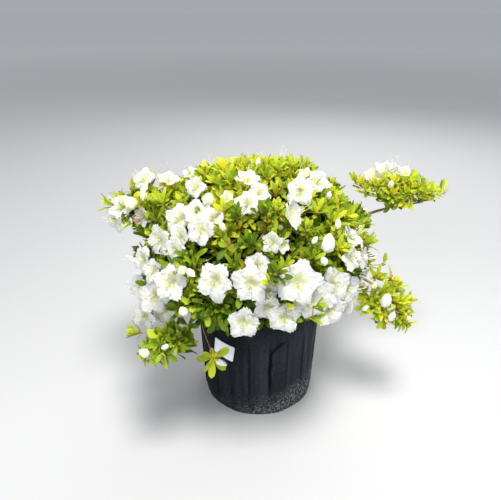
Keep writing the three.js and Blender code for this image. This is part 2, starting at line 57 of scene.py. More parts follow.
# Floor, lamps and sky, in metres. Each lamp: name, place, size, power and colour
FLOOR_REACH = 30
FLOOR_ROUGHNESS = 0.9
# Painted light: the floor grows paler from near to far, standing in for light where the lamps reach less, so
# that it meets the sky without a line
FLOOR_PAINTED_LIGHT_FADE = (1, 8)
FLOOR_NEAR = (0.5, 0.5, 0.51)
FLOOR_FAR = (0.97, 0.97, 0.97)
LIGHTS_AIM = (0, 0, 0.3)
LIGHTS = (
    ("key", (0.2, -0.8, 2.3), 0.7, 74, (1, 0.98, 0.94)),
    ("front", (-2.5, -3.6, 1.4), 2.3, 125, (0.96, 0.98, 1)),
    ("fill", (1.8, -0.9, 1.0), 1.4, 9, (0.92, 0.96, 1)),
    ("back", (0.6, 1.8, 1.8), 1.4, 26, (1, 1, 0.97)),
)
SKY_COLOUR = (0.9, 0.95, 1, 1)
SKY_STRENGTH = 0.42

# Pot
GAP = 0.3
POT_HEIGHT = 240
POT_BASE_RADIUS = 115
POT_TOP_RADIUS = 124.5
POT_WALL = 2.6
POT_FLOOR = 3
LIP_RADIUS = 130
LIP_HEIGHT = 14
LIP_THICKNESS = 6
LIP_ROUNDING = 2
PANEL_COUNT = 10
PANEL_HALF_ANGLE = math.radians(9.6)
PANEL_EDGE = math.radians(1.1)
PANEL_DEPTH = 2.2
PANEL_TOP = 196
PANEL_SHOULDER = 176
STEPS_PER_PANEL = 40
WALL_STEP = 4
INSIDE_ROWS = 12
LIP_STEPS = 5
# The radius of the point in the middle of the underside and of the floor
NO_RADIUS = 0.01
# The rounded edge of the foot: how far in and how high each point is, and its share of the panels' depth
POT_FOOT = ((3, 0, 0), (1, 0.4, 0.3), (0, 1.6, 0.7))

# A noise is its scale, detail, roughness and stretch. Patches are a noise, the values of it between which
# they grow, and here and there their least and their most. Relief is a noise, its depth in metres and its
# strength
POT_ROUGHNESS = 0.6
POT_SHINE = 0.03
POT_DARK = (0.003, 0.004, 0.005)
# Painted sheen: a pale bluish tone for light glancing off the pot's right side
POT_PAINTED_SHEEN = (0.033, 0.038, 0.048)
POT_DUST = (0.12, 0.13, 0.135)
POT_SPLASH = (0.3, 0.32, 0.31)
POT_WET = (0.002, 0.0022, 0.003)
POT_SHEEN_BANDS = ((34, 3, 0.6, (1, 1, 0.06)), 0.38, 0.62, 0.4, 1.0)
POT_RUNS = ((150, 4, 0.6, (1, 1, 0.05)), 0.48, 0.66)
POT_DUSTING = ((90, 5, 0.7), 0.46, 0.68)
POT_SPECKS = ((260, 4, 0.75), 0.5, 0.64)
POT_RELIEF = ((420, 3), 0.0002, 0.5)
RUNS_SHARE = 0.4
DUST_SHARE = 0.5
SPLASH_SHARE = 0.9

# Where the pot's looks change, in metres and radians, each from nothing to its most: its right side, the
# splashes near its foot and their growth to the right, the pale bands of painted sheen, the painted shade
# along the panels' edges, and the dry runs
POT_RIGHT = (-0.05, 0.09)
GRIME_HEIGHTS = (0.045, -0.02)
GRIME_SLOPE = -0.035
GRIME_SPREAD = (1.9, 0.3)
GRIME_POWER = 1.3
GRIME_LEAST = 0.04
LIT_ACROSS = (-0.11, 0.06)
LIT_HEIGHTS = (0.215, 0.15, 0.3, 1.0)
# Painted shade along the panels' edges
EDGE_SHADE_TURNS = (0.035, 0.005, 0.0, 0.75)
EDGE_SHADE_HEIGHTS = (0.19, 0.17)
RUNS_ACROSS = (0.06, 0.12)

# The wet streak down the pot's front, in metres: its place across, its shift at its top, its heights, how far
# it wanders, from where to where its edge dries, how much wider its head is, and how its ends and its back
# fade
STREAK_X = 0.021
STREAK_SHIFT = 0.02
STREAK_BEND = 0.142
STREAK_TOP = 0.18
STREAK_END = 0.03
STREAK_NOISE = (38, 3)
STREAK_WANDER = 0.015
STREAK_EDGE = (0.0054, 0.0015)
STREAK_HEAD = 1.4
STREAK_FADE = 0.004
STREAK_TAIL = 0.05
STREAK_FRONT = (-0.08, -0.1)
STREAK_SHARE = 0.8

# Potting mix
SOIL_TOP = 214
SOIL_RADIUS = 117
SOIL_HOLE = 0.5
SOIL_SINK = 3
SOIL_RINGS = 36
SOIL_COLUMNS = 144
# Its crumbs and its swells: scale, layer of the noise and height
SOIL_SWELLS = ((0.11, 3, 2.2), (0.02, 7, 2))
# Its side and its bottom: radius and height
SOIL_SIDE = ((SOIL_RADIUS, SOIL_TOP - 60), (SOIL_RADIUS - 6, POT_FLOOR + GAP), (SOIL_HOLE, POT_FLOOR + GAP))
# Bark chips: how many, how far out, how deep, and each side's least length and by how much more it may be
# longer
CHIPS = 420
CHIPS_REACH = 0.96
CHIP_SINK = 2
CHIP_SIZES = ((3, 9), (2, 4), (0.8, 1.4))
CHIP_ROUGHNESS = 0.3
CHIP_TIP = 0.7
CHIP_FACES = ((0, 1, 3, 2), (4, 6, 7, 5), (0, 4, 5, 1), (2, 3, 7, 6), (0, 2, 6, 4), (1, 5, 7, 3))

# Blank label
LABEL_WIDTH = 45
LABEL_HEIGHT = 37
LABEL_THICKNESS = 0.8
LABEL_AZIMUTH = math.radians(-34)
LABEL_MIDDLE_HEIGHT = 154
LABEL_TILT = math.radians(9)
LABEL_CORNER = 2.5
LABEL_GRID = (25, 21)
LABEL_GLOSS_NOISE = (120, 3)
LABEL_GLOSS = (0.2, 0.4)

# Mottled materials: name, roughness, the patches of their paler tone, dark and pale tone, the patches of a
# third tone where there is one, that tone, and relief
SURFACES = {
    "soil": (
        "potting_mix", 0.9, ((90, 6, 0.7), 0.35, 0.68), (0.03, 0.018, 0.011), (0.16, 0.085, 0.045),
        ((260, 3), 0.6, 0.7), (0.3, 0.2, 0.12), ((320, 5, 0.7), 0.0008, 0.8),
    ),
    # The label's pale film takes a bluish cast, partly painted skylight
    "label": (
        "label_film", 0.5, ((40, 4), 0.3, 0.7), (0.62, 0.66, 0.75), (0.72, 0.75, 0.8),
        None, None, ((90, 3), 0.0002, 0.3),
    ),
    "bark": (
        "limb_bark", 0.85, ((60, 6, 0.65, (1, 1, 0.3)), 0.36, 0.66), (0.1, 0.06, 0.035), (0.34, 0.235, 0.15),
        ((22, 4), 0.56, 0.7), (0.4, 0.33, 0.25), ((170, 6, 0.7, (1, 1, 0.3)), 0.0012, 0.8),
    ),
    "twig": (
        "twig_bark", 0.7, ((35, 5, 0.6), 0.36, 0.64), (0.2, 0.1, 0.045), (0.46, 0.28, 0.13),
        None, None, ((300, 4), 0.0003, 0.6),
    ),
}

# Trunk, from the soil to its fork
TRUNK_TOP = (3, 4, 262)
TRUNK_RADII = (25, 17.5, 14, 12.5, 11.5)
TRUNK_HEIGHTS = (0, 0.12, 0.34, 0.65, 1)

# Each bough: name, the limb it leaves and how far along it, its tip, its radius at the root and at the tip,
# and the middle of the space that its foliage has
BOUGHS = (
    ("leader", "trunk", 0.9, (-4, -58, 388), (8, 3.2), (0, -75, 432)),
    ("front", "trunk", 0.62, (0, -112, 320), (6.4, 3), (0, -182, 305)),
    ("right", "trunk", 0.5, (128, -10, 316), (7, 3.2), (192, -12, 316)),
    ("back", "trunk", 0.66, (4, 114, 318), (6.4, 3), (0, 182, 312)),
    ("left", "trunk", 0.52, (-126, -8, 314), (7, 3.2), (-190, -10, 312)),
    ("crown_left", "leader", 0.3, (-84, 4, 376), (5, 2.8), (-125, 8, 412)),
    ("crown_right", "leader", 0.42, (88, 8, 378), (5, 2.8), (130, 12, 412)),
    ("crown_back", "leader", 0.55, (10, 62, 388), (4.8, 2.8), (15, 88, 428)),
    ("front_left", "left", 0.34, (-78, -96, 316), (5, 2.8), (-115, -150, 305)),
    ("front_right", "front", 0.36, (76, -98, 318), (5, 2.8), (115, -150, 305)),
    ("back_right", "right", 0.36, (84, 94, 318), (5, 2.8), (125, 145, 314)),
    ("back_left", "back", 0.38, (-80, 96, 316), (5, 2.8), (-125, 145, 314)),
    ("upper_left", "left", 0.66, (-194, -8, 388), (4, 2.4), (-238, -12, 414)),
    ("long_right", "right", 0.6, (246, 74, 368), (4.6, 2.6), (300, 88, 396)),
    ("lower_right", "right", 0.74, (214, -52, 268), (3.8, 2.4), (252, -62, 228)),
    ("lower_left", "front_left", 0.6, (-150, -144, 262), (3.6, 2.2), (-168, -176, 220)),
)
BOUGH_STEPS = 5
BOUGH_ARCH = 0.2
BOUGH_BEND = 0.35

# The mesh of the limbs: rings and sides, a bough's ring spacing, and the ridges and knots of its bark as
# shares of its radius
TRUNK_RINGS = 22
TRUNK_SIDES = 40
BOUGH_SIDES = 20
BARK_STEP = 4
BARK_LEAST_STEPS = 12
RIDGE_HEIGHT = 0.13
RIDGE_SPREAD = 1.6
RIDGE_SCALE = 1.5
RIDGE_STRETCH = (0.012, 0.011)
RIDGE_BREAK = 0.1
KNOT_HEIGHT = 0.07
KNOT_SCALE = 0.05

# The crown and its outlying sprays: middle, radii, directions of the main shoots and of the fine ones, and
# the lowest direction that bears shoots
CROWN = ((-11, 0, 335), (229, 235, 157), 160, 1150, -0.47)
SPRAYS = (
    ((-230, -10, 412), (68, 62, 60), 12, 26, -0.8),
    ((304, 88, 396), (86, 56, 50), 13, 8, -0.7),
    ((248, -60, 232), (58, 50, 60), 10, 5, -1),
    ((-165, -175, 222), (62, 50, 50), 10, 5, -1),
)
SHAPES = (CROWN, *SPRAYS)
SHOOT_DEPTH = 24
UNEVENNESS = 0.13
UNEVEN_SPREAD = 1.4
SHOOT_SPACING = 38

# Flower trusses that face the front: azimuth and elevation in degrees on the crown's ellipsoid, reach as a
# share of it, and flowers
TRUSSES = (
    (-88, 23, 1.17, 2),
    (-98, 37, 1.16, 1),
    (-90, 46, 1.0, 1),
    (-44, 38, 1.0, 3),
    (-29, 39, 1.0, 2),
    (-56, 16, 1.0, 2),
    (-51, -7, 1.0, 3),
    (-50, -25, 1.05, 1),
    (-60, -16, 1.05, 2),
    (-16, 13, 1.0, 1),
    (0, 18, 1.0, 3),
    (-6, -11, 1.0, 1),
    (11, -7, 1.0, 2),
    (16, 14, 1.0, 2),
    (20, 0, 1.0, 2),
    (32, 6, 1.0, 2),
    (31, -8, 1.0, 1),
    (40, 62, 1.0, 3),
    (17, 48, 1.0, 1),
    (7, 33, 1.0, 1),
    (29, 30, 1.0, 1),
    (49, 29, 1.0, 1),
    (47, 17, 1.0, 1),
    (-78, 58, 1.0, 1),
    (-19, 54, 1.0, 1),
    (-14, 67, 1.0, 1),
    (108, 26, 1.34, 2),
    (107, 22, 1.49, 1),
)
BLOOM_SHARE = 0.3
BLOOM_FROM_Y = 20
HANGING_SPRIG = (-82, -172, 178)

# What the photograph shows, placed by pixels of its 501 across and 500 down. Each row: across, down, the
# shape that it stands on (0 is the crown, then the sprays in their order), its reach as a share of that
# shape, and the way that it faces, in degrees to the right of the front and up. A flower's row goes on with
# its size, how wide it is open and its kind
SEEN_FLOWERS = (
    (118, 205, 1, 1.0, -25, 48, 0.92, 0.85, "white"),
    (112, 220, 1, 1.02, -32, 0, 0.85, 0.9, "white"),
    (141, 217, 1, 0.95, -30, 5, 0.75, 0.85, "white"),
    (141, 178, 1, 1.0, -35, 42, 0.9, 0.85, "white"),
    (168, 178, 0, 1.06, 20, 74, 0.88, 0.7, "white"),
    (189, 172, 0, 1.02, -25, 60, 0.55, 0.75, "white"),
    (194, 187, 0, 1.0, -20, 24, 0.75, 0.9, "white"),
    (176, 218, 0, 1.0, -28, 40, 0.9, 1.0, "white"),
    (195, 210, 0, 1.03, -5, 55, 0.85, 0.9, "white"),
    (196, 223, 0, 1.02, -20, 24, 0.62, 0.9, "blush"),
    (213, 217, 0, 1.0, 20, 45, 0.72, 0.9, "white"),
    (200, 231, 0, 1.03, -8, 10, 0.85, 0.9, "white"),
    (178, 237, 0, 1.0, -25, 22, 0.72, 0.85, "white"),
    (172, 251, 0, 1.0, -36, 12, 0.85, 0.95, "white"),
    (156, 241, 0, 0.98, -42, 12, 0.92, 0.95, "white"),
    (139, 260, 0, 1.0, -48, 14, 0.98, 0.95, "white"),
    (151, 271, 0, 1.0, -34, 26, 0.85, 0.9, "white"),
    (168, 283, 0, 1.05, -14, 26, 1.08, 1.0, "white"),
    (137, 286, 0, 1.0, -42, 24, 0.92, 0.95, "white"),
    (151, 298, 0, 1.04, -26, 20, 1.05, 0.95, "white"),
    (162, 312, 0, 1.02, -14, 10, 0.86, 0.9, "white"),
    (141, 317, 0, 1.0, -36, 10, 1.0, 0.95, "white"),
    (212, 282, 0, 1.04, -26, 20, 1.1, 1.0, "white"),
    (250, 286, 0, 1.02, -10, 14, 1.06, 1.0, "white"),
    (257, 264, 0, 0.96, 0, 42, 0.78, 0.9, "white"),
    (268, 294, 0, 0.97, 18, 2, 0.9, 0.95, "white"),
    (269, 310, 0, 0.98, 8, -8, 0.9, 0.9, "white"),
    (243, 325, 0, 1.04, -4, 12, 0.98, 1.0, "white"),
    (285, 320, 0, 1.02, 6, 10, 0.92, 1.0, "white"),
    (299, 283, 0, 1.05, 2, 24, 1.22, 1.0, "white"),
    (312, 305, 0, 1.02, 12, 10, 0.95, 0.95, "white"),
    (321, 293, 0, 0.98, 14, 22, 0.9, 0.95, "white"),
    (337, 302, 0, 0.97, 24, 6, 0.9, 0.95, "white"),
    (336, 287, 0, 1.0, 24, 24, 1.14, 1.0, "white"),
    (352, 289, 0, 1.0, 46, 16, 1.0, 0.95, "white"),
    (331, 312, 0, 1.03, 10, 14, 1.0, 0.95, "white"),
    (347, 303, 0, 1.0, 32, 10, 0.9, 0.9, "white"),
    (248, 177, 0, 1.04, 25, 76, 0.95, 0.62, "white"),
    (260, 191, 0, 1.0, 20, 42, 0.72, 0.9, "white"),
    (247, 203, 0, 1.0, -14, 30, 0.74, 0.9, "white"),
    (227, 197, 0, 1.0, 0, 50, 0.5, 0.6, "white"),
    (300, 190, 0, 1.02, -12, 36, 0.95, 0.95, "white"),
    (319, 180, 0, 1.02, 30, 50, 0.86, 0.85, "white"),
    (305, 173, 0, 1.0, -20, 60, 0.55, 0.6, "blush"),
    (294, 214, 0, 1.06, 64, 20, 1.15, 0.55, "white"),
    (271, 243, 0, 0.98, -30, 16, 0.66, 0.85, "white"),
    (284, 246, 0, 0.98, 30, 6, 0.5, 0.7, "white"),
    (353, 235, 0, 1.0, 60, 42, 0.8, 0.8, "white"),
    (354, 259, 0, 1.02, 34, 22, 0.74, 0.9, "white"),
    (366, 256, 0, 1.04, 62, 16, 0.8, 0.9, "white"),
    (385, 170, 2, 1.06, -5, 66, 1.15, 0.6, "white"),
    (393, 167, 2, 1.04, 40, 74, 0.8, 0.5, "white"),
    (373, 176, 2, 1.05, -25, 60, 0.95, 0.6, "blush"),
    (404, 172, 2, 1.06, 20, 70, 0.8, 0.5, "white"),
)
# A tuft's row goes on with its style and its tone, partly leaf colour and partly painted light and shade
SEEN_TUFTS = (
    (106, 203, 1, 1.0, -85, 25, "narrow", "lime"),
    (122, 205, 1, 1.0, -40, 50, "tuft", "bright"),
    (137, 205, 1, 0.98, -20, 55, "tuft", "lime"),
    (134, 222, 1, 1.0, -30, -5, "open", "half_shade"),
    (150, 196, 1, 0.95, -15, 70, "tuft", "lime"),
    (161, 198, 0, 1.02, -20, 72, "tuft", "lime"),
    (152, 216, 0, 0.98, -40, 50, "tuft", "bright"),
    (180, 199, 0, 1.0, -15, 70, "tuft", "lime"),
    (204, 170, 0, 1.02, -12, 76, "tuft", "golden"),
    (223, 166, 0, 1.04, 4, 78, "tuft", "golden"),
    (214, 178, 0, 1.0, -10, 60, "tuft", "lime"),
    (230, 178, 0, 0.98, 10, 70, "tuft", "bright"),
    (245, 162, 0, 1.02, 6, 78, "narrow", "lime"),
    (278, 164, 0, 1.03, -12, 72, "tuft", "lime"),
    (293, 162, 0, 1.04, 16, 68, "tuft", "lime"),
    (307, 164, 0, 1.0, 40, 60, "narrow", "lime"),
    (266, 174, 0, 0.98, 0, 60, "tuft", "bright"),
    (283, 184, 0, 0.96, 0, 50, "open", "half_shade"),
    (276, 206, 0, 1.03, 0, 62, "tuft", "lime"),
    (263, 209, 0, 1.0, -12, 60, "tuft", "half_shade"),
    (236, 214, 0, 1.0, -10, 55, "tuft", "half_shade"),
    (223, 208, 0, 1.0, -5, 60, "tuft", "lime"),
    (249, 238, 0, 1.03, 0, 66, "tuft", "half_shade"),
    (226, 244, 0, 0.97, -10, 40, "open", "half_shade"),
    (279, 272, 0, 1.05, 8, 48, "tuft", "half_shade"),
    (267, 281, 0, 1.08, -35, 50, "pair", "bright"),
    (188, 256, 0, 0.98, -20, 40, "tuft", "half_shade"),
    (171, 265, 0, 1.02, -30, 50, "broad", "half_shade"),
    (190, 303, 0, 1.0, -18, 48, "broad", "bright"),
    (178, 308, 0, 1.0, -25, 40, "tuft", "half_shade"),
    (206, 311, 0, 0.99, 0, 40, "open", "half_shade"),
    (216, 322, 0, 0.99, 0, 10, "open", "half_shade"),
    (220, 307, 0, 0.96, 0, 30, "tuft", "half_shade"),
    (332, 190, 0, 1.0, 30, 65, "tuft", "lime"),
    (341, 201, 0, 1.0, 35, 60, "tuft", "bright"),
    (318, 208, 0, 1.0, 12, 62, "tuft", "lime"),
    (336, 218, 0, 1.0, 30, 55, "tuft", "lime"),
    (308, 228, 0, 1.0, 10, 55, "tuft", "bright"),
    (349, 216, 0, 1.0, 50, 52, "tuft", "lime"),
    (316, 256, 0, 1.0, 12, 50, "tuft", "bright"),
    (341, 246, 0, 1.0, 36, 45, "tuft", "lime"),
    (372, 240, 0, 1.06, 80, 25, "narrow", "lime"),
    (368, 262, 3, 1.1, 60, 45, "narrow", "lime"),
    (322, 305, 0, 1.1, 70, 28, "pair", "bright"),
    (320, 318, 0, 1.1, 60, 20, "pair", "bright"),
    (354, 178, 2, 1.0, -60, 55, "narrow", "lime"),
    (361, 182, 2, 1.0, -35, 65, "tuft", "golden"),
    (367, 190, 2, 1.02, -15, 52, "tuft", "golden"),
    (377, 185, 2, 1.05, -5, 66, "tuft", "golden"),
    (385, 180, 2, 1.0, 0, 70, "narrow", "lime"),
    (396, 178, 2, 1.05, 5, 70, "tuft", "golden"),
    (405, 180, 2, 1.02, 5, 66, "tuft", "golden"),
    (413, 176, 2, 1.02, 24, 60, "tuft", "lime"),
    (415, 185, 2, 1.02, 35, 50, "tuft", "golden"),
    (408, 190, 2, 1.04, 5, 45, "tuft", "lime"),
    (393, 192, 2, 1.04, -5, 50, "tuft", "golden"),
    (381, 194, 2, 1.02, -10, 45, "tuft", "lime"),
    (421, 190, 2, 1.0, 40, 36, "tuft", "lime"),
    (426, 190, 2, 1.0, 50, 50, "tuft", "lime"),
    (433, 190, 2, 1.0, 50, 55, "tuft", "lime"),
    (400, 201, 2, 1.0, 10, 20, "open", "bright"),
    (394, 206, 2, 1.0, 0, 0, "broad", "bright"),
    (406, 204, 2, 1.02, 10, 0, "broad", "lime"),
    (414, 198, 2, 1.02, 25, 10, "broad", "lime"),
    (388, 202, 2, 0.98, -10, 10, "open", "half_shade"),
    (365, 221, 2, 0.96, 20, 10, "pair", "half_shade"),
    (386, 259, 3, 1.12, 40, 75, "pair", "lime"),
    (397, 278, 3, 1.0, 72, 30, "open", "lime"),
    (379, 275, 3, 1.05, 10, 55, "tuft", "golden"),
    (362, 290, 3, 1.1, -40, 40, "tuft", "lime"),
    (361, 308, 3, 1.05, -50, -5, "open", "lime"),
    (373, 308, 3, 1.05, -10, 30, "tuft", "lime"),
    (396, 300, 3, 1.0, 25, 50, "tuft", "golden"),
    (401, 309, 3, 1.04, 20, 40, "tuft", "lime"),
    (388, 292, 3, 1.0, 20, 50, "tuft", "lime"),
    (367, 299, 3, 1.05, -30, 30, "tuft", "lime"),
    (378, 301, 3, 1.0, 0, 30, "tuft", "lime"),
    (385, 313, 3, 1.05, 0, 20, "tuft", "golden"),
    (405, 300, 3, 1.0, 45, 40, "tuft", "lime"),
    (407, 326, 3, 1.0, 45, -20, "broad", "lime"),
    (408, 316, 3, 1.0, 45, 10, "broad", "lime"),
    (384, 325, 3, 1.0, -8, -15, "open", "lime"),
    (399, 318, 3, 0.98, 20, 5, "tuft", "lime"),
    (413, 327, 3, 1.0, 70, -30, "open", "lime"),
    (155, 345, 4, 1.02, -25, 30, "broad", "bright"),
    (160, 356, 4, 1.05, -15, 5, "broad", "bright"),
    (139, 358, 4, 1.0, -60, -10, "open", "bright"),
    (152, 366, 4, 1.0, -20, -45, "open", "bright"),
    (163, 333, 4, 1.0, -20, 50, "tuft", "bright"),
    (183, 333, 4, 1.0, 15, 45, "tuft", "bright"),
    (185, 350, 4, 1.02, 30, -15, "broad", "bright"),
    (132, 331, 4, 1.0, -70, 30, "narrow", "lime"),
    (174, 343, 4, 1.0, 0, 30, "tuft", "bright"),
    (172, 329, 0, 1.0, -20, 30, "tuft", "bright"),
    (186, 326, 0, 1.0, -5, 30, "open", "bright"),
)
# A bud's row goes on with its length, its width and its kind
SEEN_BUDS = (
    (143, 195, 1, 1.05, -25, 85, 24, 12, "cream"),
    (130, 203, 1, 1.06, -50, 62, 27, 22, "cream"),
    (208, 199, 0, 1.04, 40, 66, 26, 19, "cream"),
    (182, 270, 0, 1.05, -20, 50, 16, 14, "cream"),
    (191, 273, 0, 1.05, 50, -20, 18, 11, "cream"),
    (328, 243, 0, 1.06, 12, 78, 37, 20, "white"),
    (386, 300, 3, 1.16, 20, 72, 36, 19, "white"),
    (391, 184, 2, 1.06, 0, 65, 20, 12, "cream"),
    (125, 226, 1, 1.0, -60, -40, 20, 6, "green"),
    (192, 178, 0, 1.0, -30, 60, 16, 9, "cream"),
    (258, 162, 0, 1.03, 40, 80, 18, 9, "cream"),
    (222, 226, 0, 1.03, -70, 65, 20, 9, "cream"),
    (329, 195, 0, 1.06, 12, 66, 18, 9, "white"),
    (338, 224, 0, 1.05, 40, 85, 19, 10, "cream"),
    (315, 240, 0, 1.05, 70, 60, 15, 8, "white"),
    (324, 261, 0, 1.05, -60, 70, 17, 11, "white"),
    (183, 311, 0, 1.08, -60, 70, 18, 13, "cream"),
    (165, 347, 4, 1.1, -40, 10, 15, 9, "white"),
    (144, 353, 4, 1.1, -80, 40, 20, 14, "cream"),
    (374, 286, 3, 1.15, 50, 75, 19, 10, "cream"),
    (366, 308, 3, 1.15, 70, 35, 18, 10, "white"),
    (392, 316, 3, 1.12, 60, 78, 24, 12, "white"),
    (409, 318, 3, 1.08, 45, 20, 10, 8, "cream"),
)
# Open ground that the photograph shows beside the plant, as boxes of pixels: left, top, right, bottom
OPEN_GROUND = (
    (90, 155, 131, 191),
    (100, 233, 144, 245),
    (417, 202, 470, 230),
    (448, 150, 480, 210),
    (392, 212, 470, 250),
)
# The stem of the sprig that hangs before the pot, the whorl of leaves at its end, and its bud
HANGING_STEM = ((-72, -142, 297), (-100, -155, 262), (-90, -166, 222), (-82, -169, 191))
SPRIG_WAY = (0.08, -0.77, 0.63)
SPRIG_BUD_WAY = (0.9, -0.3, -0.28)
# Each leaf of the whorl: its turn from the right and its lean in degrees, its length, its width and its kind
SPRIG_LEAVES = (
    (26, 74, 33, 14, "young"),
    (75, 45, 15, 8, "young"),
    (98, 62, 20, 8, "young"),
    (150, 64, 22, 9, "young"),
    (180, 82, 30, 12, "sunlit"),
    (-47, 80, 30, 14, "sunlit"),
    (-98, 84, 35, 13, "young"),
    (-126, 78, 28, 8, "sunlit"),
)
SPRIG_LEAF_DEPTH = 2
SPRIG_CURL = 0.08
SPRIG_SCALES = 4
# The foot of the bud, from the stem's end: ahead, along the bud and up
SPRIG_BUD_FOOT = (3, 4, -2)
SPRIG_BUD_SIZE = (23, 11)

# Twigs
STEM_LENGTH = 12
TWIG_STEP = 60
MAIN_TWIG_RADIUS = 1.2
TWIG_RADIUS = 0.75
TWIG_JOIN_POWER = 2.4
RUN_WEIGHT = 0.4
TURN_WEIGHT = 0.3
SWAY = 0.35
FINER = 5
FINE_STEP = 9
MARGIN = 0.6
SHOOT_ROOM = 8
TRUSS_ROOM = 22
POT_ROOM = 3
ROD_POINTS = 5
TWIG_SIDES = 4
THICK_TWIG = 1.4
THICK_TWIG_SIDES = 6

# Flowers
FLOWER_RADIUS = 28
FLOWER_MOUTH = 12
FLOWER_SPLAY = math.radians(40)
FLOWER_STALK = 12
FLOWER_TURN = 0.7
FLOWER_UPWARD = 0.5
WIDE_OPEN = 0.7

# The room ahead of a flower that leaves keep out of, and less of it for a tuft that the photograph shows. Its
# funnel: where it starts, how steeply it widens, its least radius and its most as a share of the flower's
FLOWER_ROOM = 70
SEEN_ROOM = 14
FUNNEL_FOOT = 2
FUNNEL_ROOM = 1
FUNNEL_SLOPE = 4
FUNNEL_LEAST = 4
FUNNEL_MOST = 0.85

# A petal's grid: rows from the flower's foot to the petal's tip, and columns across it. The first share of it
# is its part of the tube. Two numbers for what is dealt out are the least and by how much more it may be
PETALS = 5
PETAL_ROWS = 14
PETAL_COLUMNS = 13
TUBE_SHARE = 0.2
TUBE_RADII = (0.9, 7)
TUBE_POWER = 0.75
TUBE_LENGTH = 3.5
PETAL_HALF_WIDTH = 12.8
PETAL_WIDEST = 0.6
PETAL_LENGTHS = (0.88, 0.32)
PETAL_WIDTHS = (0.88, 0.24)
PETAL_TAPERS = (0.26, 0.14)
PETAL_ROUNDINGS = (0.26, 0.12)
ROUND_POWERS = (2.8, 1.3)
PETAL_DRIFT = 6
NOTCH_DEPTH = 2.4
NOTCH_WIDTH = 0.22
PETAL_RISE = 5.5
RISE_POWER = 1.5
PETAL_RECURVES = (1, 9)
RECURVE_POWER = 2.6
EDGE_FALL = 3
PETAL_LAP = 1.5
LAP_GROWTH = 3
RIB_DEPTH = 1.2
RIB_WIDTH = 0.15
# Waves in a petal's outline and ruffles in its surface: size, and radians along it or across half of it
SIDE_WAVE = (0.08, 15)
TIP_WAVE = (1.3, 11)
SIDE_RUFFLE = (1.8, 14)
TIP_RUFFLE = (1.3, 11)
TIP_CALM = 0.5
SLANT_RUFFLE = (0.5, 7)
SLANT = 9 / 7
# What closing a flower does to its petals: they turn up, curl in and grow narrow
CLOSING_TURN = 1.5
CLOSING_CURL = 9
CLOSING_NARROWS = 0.45
# How many rows of a petal are throat and then tint, and how much further along the midrib they reach
THROAT_ROWS = 3
TINT_ROWS = 4.5
TINT_FLARE = 2.5
BANNER_FLARE = 4.5
FLARES = (0.6, 0.8)
FLARE_NARROWS = 1.6

# Stamens and pistils. A thread is its radius, its steps and the size of the knob on its end
STAMENS = 8
CLOSED_STAMENS = 2
STAMEN = (0.3, 5, 1.1)
STAMEN_FOOT = 4
STAMEN_OUT = 1.2
STAMEN_LEANS = (0.12, 0.16)
STAMEN_DROOP = 0.15
STAMEN_BEND = 0.35
STAMEN_LENGTHS = (18, 13)
PISTIL = (0.38, 7, 1.5)
PISTIL_LENGTH = 34
PISTIL_DROOP = 0.2
PISTIL_BEND = 0.4
THREAD_SIDES = 3
KNOB_SIDES = 4
# The stalk and the cup behind a flower
STALK_HEIGHTS = (-FLOWER_STALK, -3, -1, 0.4)
STALK_RADII = (0.8, 1.1, 2.6, 1.6)
STALK_SIDES = 6

# A bud: rings along it, steps round each of its petals, its ends as shares of its length, its twist in
# radians, the powers of its spindle, and how far each petal stands out from its start to its edge
BUD_RINGS = 12
BUD_STEPS = 7
BUD_ENDS = (0.02, 0.99)
BUD_TWIST = 1.6
BUD_POWERS = (0.8, 0.75)
BUD_LAP = (0.86, 0.24)

# A leaf's outline: how far along it each station is and how wide the leaf is there, as shares
LEAF_STATIONS = ((0.2, 0.42), (0.45, 0.86), (0.68, 1.0), (0.89, 0.74))
LEAF_FOLD = 0.22
LEAF_ROOT_DEPTH = 1.5
LEAF_ROLL = 0.7
LEAF_SIZES = (0.85, 0.3)
LEAF_CURLS = (0.4, 1.2)
LEAF_ROOM = 2
LEAF_SHINE = 0.12

# Whorls: how the leaves of each style stand. Leaves, lean of the first and the last from the tip's own way in
# degrees, longest leaf, width, and curl
WHORLS = {
    "tuft": (12, 8, 58, 28, 8, 0.06),
    "narrow": (9, 4, 44, 29, 7, 0.04),
    "broad": (10, 34, 80, 27, 9.6, 0.08),
    "rosette": (10, 26, 80, 26, 8.6, 0.12),
    "open": (6, 38, 92, 26, 9.4, 0.14),
    "pair": (3, 12, 40, 25, 9.5, 0.04),
    "inner": (6, 40, 100, 29, 10, 0.12),
}
WHORL_SIZES = (0.84, 0.3)
WHORL_TURN = 0.5
WHORL_LEAN = 16
WHORL_POWER = 0.8
WHORL_DEPTH = 7
# The youngest leaf's length and how much longer they become, how fast, and the share of them in the inner
# kind
YOUNG_LENGTH = (0.68, 0.32)
YOUNG_GROWTH = 2.5
YOUNG_SHARE = 0.45
ODD_LEAVES = 0.16
SCALED_WHORLS = 0.8
SCALES = 5
SCALE_LEANS = (0.35, 0.6)
SCALE_DEPTHS = (3, 4)
SCALE_LENGTHS = (9, 9)
SCALE_WIDTH = 4.4
SCALE_CURL = 0.1

# Finer shoots: how they are strewn and how far out they stand, as shares. Layers inside the crown, and one
# inside the thick sprays: reach and directions
FINE_SHIFT = 0.7
FINE_REACHES = (0.95, 0.1)
CROWN_REACHES = (0.86, 1.12)
MOST_REACH = 1.15
STRAY = 2.2
INNER_LAYERS = ((0.84, 440), (0.66, 320), (0.46, 170))
THICK_SPRAYS = (1, 2)
THICK_LAYER = (0.6, 10)
# Between the main shoots the crown lies lower, and finer shoots are drawn to the main ones
MOUND_RADIUS = 45
MOUND_HOLLOW = 0.07
MOUND_PULL = 0.2
TUFT_MIDDLE = 13

# Where a twig's end points: along the twig, outward and up
END_ALONG = 0.4
END_OUTWARD = 0.4
CROWN_UPWARD = 0.5
SPRAY_UPWARD = 1.0
